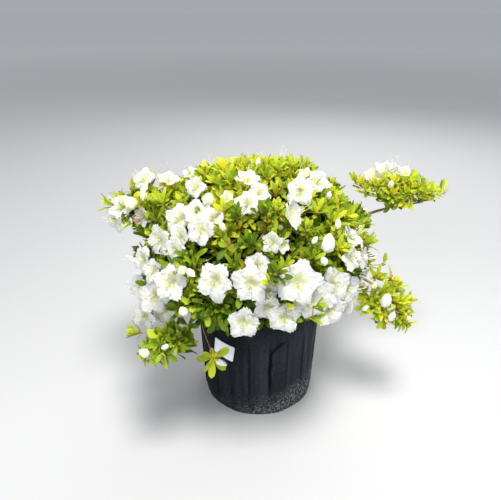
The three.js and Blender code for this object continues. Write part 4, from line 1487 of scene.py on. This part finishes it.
def petal_grid(flower, number, random):
    """One petal: its share of the tube, then a broad round lobe with a ruffled edge."""
    share = np.linspace(0, 1, PETAL_ROWS)[:, None]
    across = np.linspace(-1, 1, PETAL_COLUMNS)[None, :]
    edge = np.abs(across)
    tube_part = np.clip(share / TUBE_SHARE, 0, 1)
    blade = np.clip((share - TUBE_SHARE) / (1 - TUBE_SHARE), 0, 1)
    tube_radius = TUBE_RADII[0] + (TUBE_RADII[1] - TUBE_RADII[0]) * tube_part**TUBE_POWER
    turn = across * math.pi / PETALS
    length = (FLOWER_RADIUS - TUBE_RADII[1]) * dealt(PETAL_LENGTHS, random)
    wide = PETAL_HALF_WIDTH * dealt(PETAL_WIDTHS, random)
    phases = [random() * FULL_TURN for _ in range(5)]

    # How wide the petal is, how far out it reaches and how far aside
    swell = np.sin(np.minimum(blade / PETAL_WIDEST, 1) * math.pi / 2)
    taper = np.clip((blade - PETAL_WIDEST) / (1 - PETAL_WIDEST), 0, 1)
    half = swell * wide * (1 - dealt(PETAL_TAPERS, random) * taper**2)
    half = half * (1 + ripple(SIDE_WAVE, blade, phases[0]) * blade)
    corner = edge ** ROUND_POWERS[0] * blade ** ROUND_POWERS[1]
    spread = length * blade * (1 - dealt(PETAL_ROUNDINGS, random) * corner)
    spread = spread + blade**4 * ripple(TIP_WAVE, across, phases[1])
    spread = spread - NOTCH_DEPTH * random() * blade**4 * ridge(across, NOTCH_WIDTH)
    drift = either_way(PETAL_DRIFT, random) * blade**2
    aside = tube_radius * np.sin(turn) * (1 - swell) + across * half + drift

    # How high it lies: it rises and bends back, its edge is ruffled, and one side laps over the next petal
    recurve = dealt(PETAL_RECURVES, random)
    rise = PETAL_RISE * (1 - (1 - blade) ** RISE_POWER) - recurve * blade**RECURVE_POWER
    rise = rise - EDGE_FALL * edge**2 * blade * (1 - blade)
    calm = (1 - TIP_CALM * edge**2 * blade**4) * flower.opening**2
    rise = rise + ripple(SIDE_RUFFLE, blade * np.sign(across), phases[2]) * edge**2 * np.sqrt(blade) * calm
    rise = rise + ripple(TIP_RUFFLE, across, phases[3]) * blade**2 * calm
    rise = rise + PETAL_LAP * across * np.minimum(LAP_GROWTH * blade, 1)
    rise = rise - RIB_DEPTH * ridge(across, RIB_WIDTH) * blade * (1 - blade)
    rise = rise + ripple(SLANT_RUFFLE, across + SLANT * blade, phases[4]) * blade

    closed = 1 - flower.opening
    closing = closed * CLOSING_TURN
    out = tube_radius * np.cos(turn) + spread * math.cos(closing) - rise * math.sin(closing)
    out = out - closed * CLOSING_CURL * blade**3
    height = TUBE_LENGTH * tube_part + rise * math.cos(closing) + spread * math.sin(closing)
    narrow = 1 - CLOSING_NARROWS * closed * blade
    return flower.place(number, out, aside * narrow, height)


def add_petals(flower, pieces, random):
    """Petals whose throat and tint reach further along the midrib, and furthest on the uppermost petal."""
    quads = grid_faces(PETAL_ROWS, PETAL_COLUMNS).reshape(PETAL_ROWS - 1, PETAL_COLUMNS - 1, 4)
    row = np.arange(PETAL_ROWS - 1)[:, None] + 0.5
    off_rib = np.abs(np.linspace(-1, 1, PETAL_COLUMNS)[:-1] + 1 / (PETAL_COLUMNS - 1))[None, :]
    banner = max(range(PETALS), key=lambda n: flower.place(n, 1.0, 0.0, 0.0)[2])
    limits = (-PETAL_ROWS, THROAT_ROWS, TINT_ROWS, PETAL_ROWS)
    names = ("throats", "tints", "petals_" + flower.kind)
    for number in range(PETALS):
        points = petal_grid(flower, number, random).reshape(-1, 3)
        flare = (BANNER_FLARE if number == banner else TINT_FLARE) * dealt(FLARES, random)
        level = row - flare * np.maximum(1 - FLARE_NARROWS * off_rib, 0)
        for low, high, name in zip(limits[:-1], limits[1:], names):
            chosen = quads[(level >= low) & (level < high)]
            used, corners = np.unique(chosen, return_inverse=True)
            pieces[name].add(points[used], corners.reshape(chosen.shape))


def add_filament(piece, foot, way, bend, length, thread, knob_piece):
    """A thin curved thread with a knob on its end. thread has its radius, its steps and its knob's size."""
    radius, steps, size = thread
    share = np.linspace(0, 1, steps + 1)[:, None]
    path = foot + way * length * share + bend * length * share**2
    piece.add(*tube(path, np.full(steps + 1, radius), THREAD_SIDES))
    ahead = unit(path[-1] - path[-2])
    knob_path = path[-1] + ahead * np.array([-0.5, 0, 0.5])[:, None] * size
    knob_piece.add(*tube(knob_path, np.array([0.25, 0.5, 0.25]) * size, KNOB_SIDES))


def add_flower_parts(flower, pieces, random):
    """Petals, stamens and a pistil that curve upward, and the stalk with its green cup."""
    add_petals(flower, pieces, random)
    rise = unit(UP * FLOWER_UPWARD + flower.first * either_way(1, random))
    for number in range(STAMENS if flower.opening > WIDE_OPEN else CLOSED_STAMENS):
        spoke = flower.spoke(number * FULL_TURN / STAMENS + random())
        foot = flower.foot + flower.way * STAMEN_FOOT * flower.size + spoke * STAMEN_OUT
        way = unit(flower.way + spoke * dealt(STAMEN_LEANS, random) - rise * STAMEN_DROOP)
        length = dealt(STAMEN_LENGTHS, random) * flower.size
        add_filament(pieces["stamens"], foot, way, rise * STAMEN_BEND, length, STAMEN, pieces["anthers"])
    way = unit(flower.way - rise * PISTIL_DROOP)
    length = PISTIL_LENGTH * flower.size
    add_filament(pieces["pistils"], flower.foot, way, rise * PISTIL_BEND, length, PISTIL, pieces["pistils"])
    stalk = np.array(STALK_HEIGHTS)[:, None] * flower.way + flower.foot
    pieces["buds_green"].add(*tube(stalk, np.array(STALK_RADII), STALK_SIDES))


def add_bud(piece, foot, way, length, width, random):
    """A closed bud: a spindle round which furled petals wind, each edge lying over the next."""
    side = np.arange(PETALS * BUD_STEPS)[None, :]
    share = np.linspace(*BUD_ENDS, BUD_RINGS)[:, None]
    turn = side * FULL_TURN / side.size + share * BUD_TWIST + random() * ANY_TURN
    radius = width / 2 * np.sin(math.pi * share ** BUD_POWERS[0]) ** BUD_POWERS[1]
    lap = side % BUD_STEPS / (BUD_STEPS - 1)
    radius = radius * (BUD_LAP[0] + BUD_LAP[1] * lap**2)
    first = square_to(way, 0)
    second = np.cross(way, first)
    points = foot + (np.cos(turn) * radius)[..., None] * first + (np.sin(turn) * radius)[..., None] * second
    points = points + (share * length)[..., None] * way
    piece.add(points.reshape(-1, 3), grid_faces(BUD_RINGS, side.size, closed=True))


# Leaves


def leaf_template():
    """Points as (along, across, lift) shares, and triangles, folded along the midrib."""
    points = [(0, 0, 0)]
    for along, width in LEAF_STATIONS:
        points += [(along, -width, width), (along, 0, 0), (along, width, width)]
    points.append((1, 0, 0))
    faces = [(0, 2, 1), (0, 3, 2)]
    for i in range(len(LEAF_STATIONS) - 1):
        a = 1 + 3 * i
        for left in (a, a + 1):
            faces += [(left, left + 1, left + 4), (left, left + 4, left + 3)]
    a, tip = 1 + 3 * (len(LEAF_STATIONS) - 1), len(points) - 1
    faces += [(a, a + 1, tip), (a + 1, a + 2, tip)]
    return np.array(points, float), np.array(faces)


class Leaves:
    """Gathers leaves of one colour and makes them all at once."""

    def __init__(self, name):
        self.name = name
        self.rows = []

    def add(self, root, way, face, length, width, curl):
        self.rows.append(np.concatenate([root, way, face, [length, width, curl]]))

    def make(self, material, nodes):
        rows = np.array(self.rows)
        shape, faces = leaf_template()
        root, way, face = rows[:, None, 0:3], rows[:, None, 3:6], rows[:, None, 6:9]
        length, width, curl = (rows[:, None, i, None] for i in (9, 10, 11))
        side = np.cross(way, face)
        along, across, lift = (shape[None, :, i, None] for i in range(3))
        points = root + way * along * length + side * across * width / 2
        points = points + face * (lift * width * LEAF_FOLD - curl * length * along**2)
        starts = np.arange(len(rows))[:, None, None] * len(shape)
        piece = Piece(self.name)
        piece.add(points.reshape(-1, 3), (faces[None] + starts).reshape(-1, 3))
        piece.make("foliage", material, nodes)


def clear_of_flowers(points, room, ahead=FLOWER_ROOM):
    """Whether points keep out of every flower's funnel and the room ahead of it."""
    feet, ways, sizes = room
    offset = points[:, None, :] - feet
    height = (offset * ways).sum(-1)
    out = np.linalg.norm(offset - height[..., None] * ways, axis=-1)
    wide = (height - PETAL_RISE + FUNNEL_ROOM) * FUNNEL_SLOPE
    funnel = np.clip(wide, FUNNEL_LEAST, FUNNEL_MOST * FLOWER_RADIUS) * sizes
    inside = (height > FUNNEL_FOOT) & (height < ahead) & (out < funnel)
    return not inside.any()


def add_whorl(leaves, bank, place, way, style, tone, room, random, ahead=FLOWER_ROOM):
    """Leaves round a twig's end, the youngest upright in the middle, and none in the room ahead of a flower.
    bank is the piece that takes the scales at its foot, where it has any."""
    count, first_lean, last_lean, longest, width, curl = WHORLS[style]
    count = count + int(random() * 3) - 1
    turn = random() * FULL_TURN
    size = dealt(WHORL_SIZES, random)
    for number in range(count):
        share = number / max(count - 1, 1)
        turn += GOLDEN_ANGLE + either_way(WHORL_TURN, random)
        lean = first_lean + (last_lean - first_lean) * share**WHORL_POWER + either_way(WHORL_LEAN, random)
        leaf_way = leaned(way, square_to(way, turn), math.radians(lean))
        face = square_part(way, leaf_way)
        face = unit(face + np.cross(leaf_way, face) * either_way(LEAF_ROLL, random))
        grown = YOUNG_LENGTH[0] + YOUNG_LENGTH[1] * min(share * YOUNG_GROWTH, 1)
        length = longest * size * grown * dealt(LEAF_SIZES, random)
        root = place - way * (share * WHORL_DEPTH - LEAF_ROOT_DEPTH)
        tip = root + leaf_way * length
        kind = TONES[tone][2 if random() < ODD_LEAVES else (0 if share < YOUNG_SHARE else 1)]
        wide = width * size * dealt(LEAF_SIZES, random)
        bend = curl * dealt(LEAF_CURLS, random)
        spots = np.stack([tip, (root + tip) / 2])
        if on_open_ground(tip) or not clear_of_pot(spots, LEAF_ROOM).all():
            continue
        if clear_of_flowers(spots, room, ahead):
            leaves[kind].add(root, leaf_way, face, length, wide, bend)
    scaled = bank is not None and count > SCALES and not on_open_ground(place)
    if scaled and random() < SCALED_WHORLS and clear_of_flowers(place[None], room, ahead):
        add_scales(bank, place, way, random)


def add_scales(bank, place, way, random):
    """Papery tan scales at the foot of a whorl."""
    for number in range(SCALES):
        spoke = square_to(way, number * GOLDEN_ANGLE + random())
        scale_way = leaned(way, spoke, dealt(SCALE_LEANS, random))
        root = place - way * dealt(SCALE_DEPTHS, random)
        length = dealt(SCALE_LENGTHS, random)
        bank.add(root, scale_way, square_part(way, scale_way), length, SCALE_WIDTH, SCALE_CURL)


# The plant


def grow_plant(limbs):
    """Each mass's tree with the solid's twigs, in the boughs' order."""
    segments = limb_segments(limbs)
    shoots = main_shoots()
    trees = []
    for owner, bough in enumerate(BOUGHS):
        path = limbs[bough[0]][0]
        heading = unit(path[-1] - path[-2])
        tree = Tree(path[-1] + heading * GAP, heading)
        own = [keep_in(s, owner) for s in shoots if s.grown and depth_in_space(s.place, owner) > 0]
        top = tree.places[1]
        for shoot in sorted(own, key=lambda s: np.linalg.norm(s.place - top)):
            tree.grow_main(shoot, owner, segments)
        trees.append(tree)
    return trees, segments


def ray_place(across, down, shape, reach):
    """Where the camera's ray through a pixel first meets a shape, or else passes nearest to its middle."""
    middle, radii = np.array(shape[0]), np.array(shape[1]) * reach
    right = (across - PICTURE[0] / 2) / PICTURE[0] / CAMERA_FOCUS
    below = (down - PICTURE[1] / 2) / PICTURE[0] / CAMERA_FOCUS
    ahead = math.cos(CAMERA_DIP) - below * math.sin(CAMERA_DIP)
    ray = np.array([right, ahead, -math.sin(CAMERA_DIP) - below * math.cos(CAMERA_DIP)]) / radii
    origin = (CAMERA_POINT - middle) / radii
    along = -(origin @ ray) / (ray @ ray)
    nearest = origin + ray * along
    back = math.sqrt(max(1 - nearest @ nearest, 0) / (ray @ ray))
    return middle + (origin + ray * (along - back)) * radii


def on_open_ground(place):
    """Whether a place shows, in the photograph's frame, where open ground lies beside the plant."""
    ahead = place - CAMERA_POINT
    depth = ahead[1] * math.cos(CAMERA_DIP) - ahead[2] * math.sin(CAMERA_DIP)
    rise = ahead[1] * math.sin(CAMERA_DIP) + ahead[2] * math.cos(CAMERA_DIP)
    across = PICTURE[0] * (0.5 + CAMERA_FOCUS * ahead[0] / depth)
    down = PICTURE[1] / 2 - PICTURE[0] * CAMERA_FOCUS * rise / depth
    return any(left < across < right and top < down < bottom for left, top, right, bottom in OPEN_GROUND)


def seen_flowers(random):
    """The flowers that the photograph shows, with the middle of each mouth where it shows there."""
    flowers = []
    for across, down, number, reach, azimuth, elevation, size, opening, kind in SEEN_FLOWERS:
        way = facing(azimuth, elevation)
        foot = ray_place(across, down, SHAPES[number], reach) - way * FLOWER_MOUTH * size
        upright = math.pi / 2 + either_way(FLOWER_TURN, random)
        flowers.append(Flower(foot, way, upright, size, opening, kind, number))
    return flowers


def back_spots(trees, random):
    """Where flowers may stand behind: the solids' own flowering ends, and places spread between them."""
    spots = []
    for tree in trees:
        if tree is not trees[OWNERS["long_right"]]:
            spots += [tree.places[end] for end, _, shoot in tree.ends if shoot.flowers]
    middle, radii, _, _, lowest = CROWN
    for way in spiral(BACK_SPOTS):
        if way[2] > lowest and random() < BACK_BLOOM:
            spots.append(way * (np.array(radii) - SHOOT_DEPTH) + middle)
    return spots


def back_flowers(trees, random):
    """Flowers on the side that the photograph doesn't show, nearly as many as on the side that it does."""
    flowers = []
    for place in back_spots(trees, random):
        outward = outward_at(place)
        if outward @ unit(CAMERA_POINT - place) > FACING_CAMERA:
            continue
        count = 1 + int(random() * BACK_FLOWERS)
        first = random() * FULL_TURN
        for k in range(count):
            spoke = square_to(outward, first + k * FULL_TURN / count)
            way = leaned(outward, spoke, FLOWER_SPLAY if count > 1 else 0)
            kind = "blush" if random() < BACK_BLUSH else "white"
            size, opening = dealt(BACK_SIZES, random), dealt(BACK_OPENINGS, random)
            foot = place + way * dealt(BACK_STANDS, random)
            flowers.append(Flower(foot, way, first, size, opening, kind))
    return flowers


def fine_shoots(trees, random):
    """Shoots spread over each shape, each as far out as the main one nearest to it, lower between them."""
    places = np.array([tree.places[end] for tree in trees for end, _, _ in tree.ends])
    layers = [(1.0, None, number) for number in range(len(SHAPES))]
    layers += [(share, count, 0) for share, count in INNER_LAYERS]
    layers += [(*THICK_LAYER, number) for number in THICK_SPRAYS]
    shoots = []
    for layer, count, number in layers:
        middle, radii, _, directions, lowest = SHAPES[number]
        count = count or directions
        inner = np.array(radii) - SHOOT_DEPTH
        for way in spiral(count, FINE_SHIFT):
            if way[2] < lowest:
                continue
            stray = np.array([either_way(1, random) for _ in range(3)])
            way = unit(way + STRAY / math.sqrt(count) * stray)
            apart = ((places - (way * inner + middle)) ** 2).sum(1)
            nearest = int(np.argmin(apart))
            reach = np.linalg.norm((places[nearest] - middle) / inner)
            if number == 0:
                reach = min(max(reach, CROWN_REACHES[0]), CROWN_REACHES[1])
            hollow = MOUND_HOLLOW * min(apart[nearest] / MOUND_RADIUS**2, 1) if layer == 1.0 else 0
            reach = (min(reach, MOST_REACH) - hollow) * layer * dealt(FINE_REACHES, random)
            place = way * inner * reach + middle
            if layer == 1.0:
                place = place + (places[nearest] - place) * MOUND_PULL
            shoots.append(Shoot(place, 0, layer, number))
    return shoots


def seen_tufts():
    """The tufts of leaves that the photograph shows."""
    shoots = []
    for across, down, number, reach, azimuth, elevation, style, tone in SEEN_TUFTS:
        way = facing(azimuth, elevation)
        place = ray_place(across, down, SHAPES[number], reach) - way * TUFT_MIDDLE
        shoots.append(Shoot(place, 0, 1.0, number, (way, style, tone)))
    return shoots


def owner_of(place):
    return int(np.argmin(((MIDDLES - place) ** 2).sum(1)))


def tone_at(place, shoot, random):
    """A whorl's tone, which paints light and shade into its leaves: bright where the sun falls and dark
    within and below.
    """
    draw = random()
    if shoot.reach < OUTER_REACH and shoot.shape:
        return "half_shade"
    if shoot.reach < DEEP_REACH:
        return "dark"
    if shoot.reach < OUTER_REACH:
        return "dark" if draw < INNER_DEEP_SHADE else "mid"
    sun = (place[2] - CROWN[0][2]) / CROWN[1][2] * SUN_CLIMB + SPRAY_SUN[shoot.shape]
    sun += SUN_PATCHES * math.sin(place[0] * PATCH_PACES[0]) * math.cos(place[1] * PATCH_PACES[1])
    sun += SUN_CHANCE * (draw - 0.5)
    for least, tone in SUN_TONES:
        if sun > least:
            return tone
    return "mid"


def connect(tree, place, segments):
    """A twig to a place, or a straight one from the nearest node where that is too near for a curved one."""
    if tree.grow_fine(Shoot(place), segments):
        tree.ends.pop()
        return
    nearest = int(np.argmin(((np.array(tree.places[1:]) - place) ** 2).sum(1))) + 1
    toward = place - tree.places[nearest]
    length = np.linalg.norm(toward)
    steps = max(round(length / FINE_STEP), 1)
    way = toward / max(length, 1)
    line = [nearest]
    for i in range(1, steps + 1):
        run = tree.runs[nearest] + length * i / steps
        line.append(tree.add(tree.places[nearest] + toward * i / steps, way, run, line[-1], False))
    tree.lines.append(line)


def grow_parts(trees, flowers, leaves, scales, pieces, segments, room, random):
    """The finer twigs, and the flowers, tufts, buds and sprig that the photograph shows, each on a twig."""
    for shoot in fine_shoots(trees, random):
        if clear_of_flowers(shoot.place[None], room):
            trees[owner_of(shoot.place)].grow_fine(shoot, segments)
    for shoot in seen_tufts():
        tree = trees[owner_of(shoot.place)]
        connect(tree, shoot.place, segments)
        tree.ends.append((len(tree.places) - 1, len(tree.places) - 2, shoot))
    for flower in flowers:
        add_flower_parts(flower, pieces, random)
        base = flower.foot - flower.way * FLOWER_STALK
        connect(trees[owner_of(base)], base, segments)
        tone = tone_at(base, Shoot(base, shape=flower.shape), random)
        add_whorl(leaves, scales, base, flower.way, "open", tone, room, random)
    for across, down, number, reach, azimuth, elevation, length, width, kind in SEEN_BUDS:
        way = facing(azimuth, elevation)
        foot = ray_place(across, down, SHAPES[number], reach) - way * length / 2
        connect(trees[owner_of(foot)], foot, segments)
        add_bud(pieces["buds_" + kind], foot, way, length, width, random)
    add_hanging_sprig(trees, leaves, pieces, segments, random)


def build_plant(limbs, random):
    """Twigs, leaves, flowers and buds, joined into a piece of each kind, in place of every mass."""
    trees, segments = grow_plant(limbs)
    flowers = seen_flowers(random) + back_flowers(trees, random)
    room = (
        np.array([flower.foot for flower in flowers]),
        np.array([flower.way for flower in flowers]),
        np.array([flower.size for flower in flowers]),
    )
    leaves = {kind: Leaves(f"leaves_{kind}") for kind in LEAF_KINDS}
    scales = Leaves("bud_scales")
    pieces = {name: Piece(name) for name in (*PETAL_LOOKS, "buds_green")}
    grow_parts(trees, flowers, leaves, scales, pieces, segments, room, random)

    twigs = Piece("twigs")
    for tree, bough in zip(trees, BOUGHS):
        radii = tree.radii(bough[4][1])
        for line in tree.lines:
            path = np.array([tree.places[i] for i in line])
            thick = radii[line].copy()
            if line[0] > 0:
                thick[0] = thick[1]
            twigs.add(*tube(path, thick, THICK_TWIG_SIDES if thick[0] > THICK_TWIG else TWIG_SIDES))
        for end, _, shoot in tree.ends:
            dress_end(tree, end, shoot, leaves, scales, pieces, room, random)

    masses = [f"foliage_{bough[0]}" for bough in BOUGHS]
    twigs.make("bark", surface("twig").material, masses)
    for kind, look in LEAF_KINDS.items():
        leaves[kind].make(leafy(f"leaf_{kind}", *look), masses)
    scales.make(leafy(*SCALE_LOOK), masses)
    for name, look in PETAL_LOOKS.items():
        pieces[name].make("petals", leafy(*look), masses)
    pieces["buds_green"].make("foliage", leafy(*GREEN_BUD_LOOK), masses)


def add_hanging_sprig(trees, leaves, pieces, segments, random):
    """The sprig that hangs before the pot: a bare stem, a whorl of broad leaves and a bud."""
    for place in HANGING_STEM:
        connect(trees[OWNERS["front_left"]], np.array(place, float), segments)
    end, way = np.array(HANGING_STEM[-1], float), unit(np.array(SPRIG_WAY))
    for turn, lean, length, width, kind in SPRIG_LEAVES:
        leaf_way = leaned(way, square_to(way, math.radians(turn)), math.radians(lean))
        root = end - way * SPRIG_LEAF_DEPTH
        leaves[kind].add(root, leaf_way, square_part(way, leaf_way), length, width, SPRIG_CURL)
    bud_way = unit(np.array(SPRIG_BUD_WAY))
    add_scales(leaves["golden"], end + way * SPRIG_SCALES, way, random)
    ahead, along, up = SPRIG_BUD_FOOT
    foot = end + way * ahead + bud_way * along + UP * up
    add_bud(pieces["buds_white"], foot, bud_way, *SPRIG_BUD_SIZE, random)


def dress_end(tree, end, shoot, leaves, scales, pieces, room, random):
    """Leaves, and here and there a bud or an old pistil, on the end of a twig."""
    place = tree.places[end]
    if shoot.whorl:
        way, style, tone = shoot.whorl
        add_whorl(leaves, scales, place, way, style, tone, room, random, SEEN_ROOM)
        return
    outward = unit(place - np.array(SHAPES[shoot.shape][0]))
    upward = UP * (SPRAY_UPWARD if shoot.shape else CROWN_UPWARD)
    way = unit(tree.ways[end] * END_ALONG + outward * END_OUTWARD + upward)
    tone = tone_at(place, shoot, random)
    if shoot.reach < OUTER_REACH:
        add_whorl(leaves, None, place, way, "inner", tone, room, random)
        return
    style = "rosette"
    for share, other in STYLE_SHARES:
        if random() < share:
            style = other
            break
    add_whorl(leaves, scales, place, way, style, tone, room, random)
    if random() < OLD_LEAVES:
        face = square_to(way, random() * ANY_TURN)
        hanging = unit(face * 2 - UP * OLD_LEAF_DROOP)
        tilted = unit(way + face * OLD_LEAF_TILT)
        leaves["old"].add(place - way * OLD_LEAF_DEPTH, hanging, tilted, *OLD_LEAF)
    for name, share, lengths, widths in END_BUDS:
        if random() < share:
            length, width = dealt(lengths, random), dealt(widths, random)
            add_bud(pieces[name], place + way * BUD_STAND, way, length, width, random)
            break
    if random() < OLD_PISTILS:
        bend = square_to(way, random() * ANY_TURN) * OLD_PISTIL_BEND + UP * OLD_PISTIL_RISE
        length = dealt(OLD_PISTIL_LENGTHS, random)
        add_filament(pieces["pistils"], place, way, bend, length, OLD_PISTIL, pieces["pistils"])


# Camera, light and floor


def build_stage():
    scene = bpy.context.scene
    camera = linked("camera", bpy.data.cameras.new("camera"))
    camera.data.sensor_width = CAMERA_SENSOR
    camera.data.lens = CAMERA_SENSOR * CAMERA_FOCUS
    camera.location = CAMERA_PLACE
    camera.rotation_euler = (math.radians(CAMERA_TILT), 0, 0)
    scene.camera = camera

    mesh = bpy.data.meshes.new("floor")
    corners = [(x * FLOOR_REACH, y * FLOOR_REACH, 0) for x, y in ((-1, -1), (1, -1), (1, 1), (-1, 1))]
    mesh.from_pydata(corners, [], [(0, 1, 2, 3)])
    pattern = Pattern("floor_paper", FLOOR_ROUGHNESS)
    # Painted light: the floor is paler the further it lies from the middle
    middle = pattern.node("ShaderNodeVectorMath", {0: pattern.place}, operation="LENGTH").outputs["Value"]
    pattern.link("Base Color", pattern.mix(pattern.span(middle, *FLOOR_PAINTED_LIGHT_FADE), FLOOR_NEAR, FLOOR_FAR))
    mesh.materials.append(pattern.material)
    floor = linked("floor", mesh)

    for name, place, size, power, colour in LIGHTS:
        light = bpy.data.lights.new(name, "AREA")
        light.size = size
        light.energy = power
        light.color = colour
        lamp = linked(name, light)
        lamp.location = place
        lamp.rotation_euler = (Vector(LIGHTS_AIM) - Vector(place)).to_track_quat("-Z", "Y").to_euler()

    scene.world = bpy.data.worlds.new("studio")
    scene.world.use_nodes = True
    sky = scene.world.node_tree.nodes["Background"]
    sky.inputs[0].default_value = SKY_COLOUR
    sky.inputs[1].default_value = SKY_STRENGTH
    scene.view_settings.view_transform = "Standard"


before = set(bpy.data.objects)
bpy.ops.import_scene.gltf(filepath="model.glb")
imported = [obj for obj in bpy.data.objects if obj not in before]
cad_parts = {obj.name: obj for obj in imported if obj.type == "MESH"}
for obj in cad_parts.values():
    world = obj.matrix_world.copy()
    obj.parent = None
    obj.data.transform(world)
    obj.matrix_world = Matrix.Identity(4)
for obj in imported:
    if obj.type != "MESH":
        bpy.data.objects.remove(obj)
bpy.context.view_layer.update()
build_stage()
draw = seeded(SEED + 1)
build_pot()
build_soil(draw)
build_label()
paths = limb_paths()
build_limbs(paths)
build_plant(paths, draw)
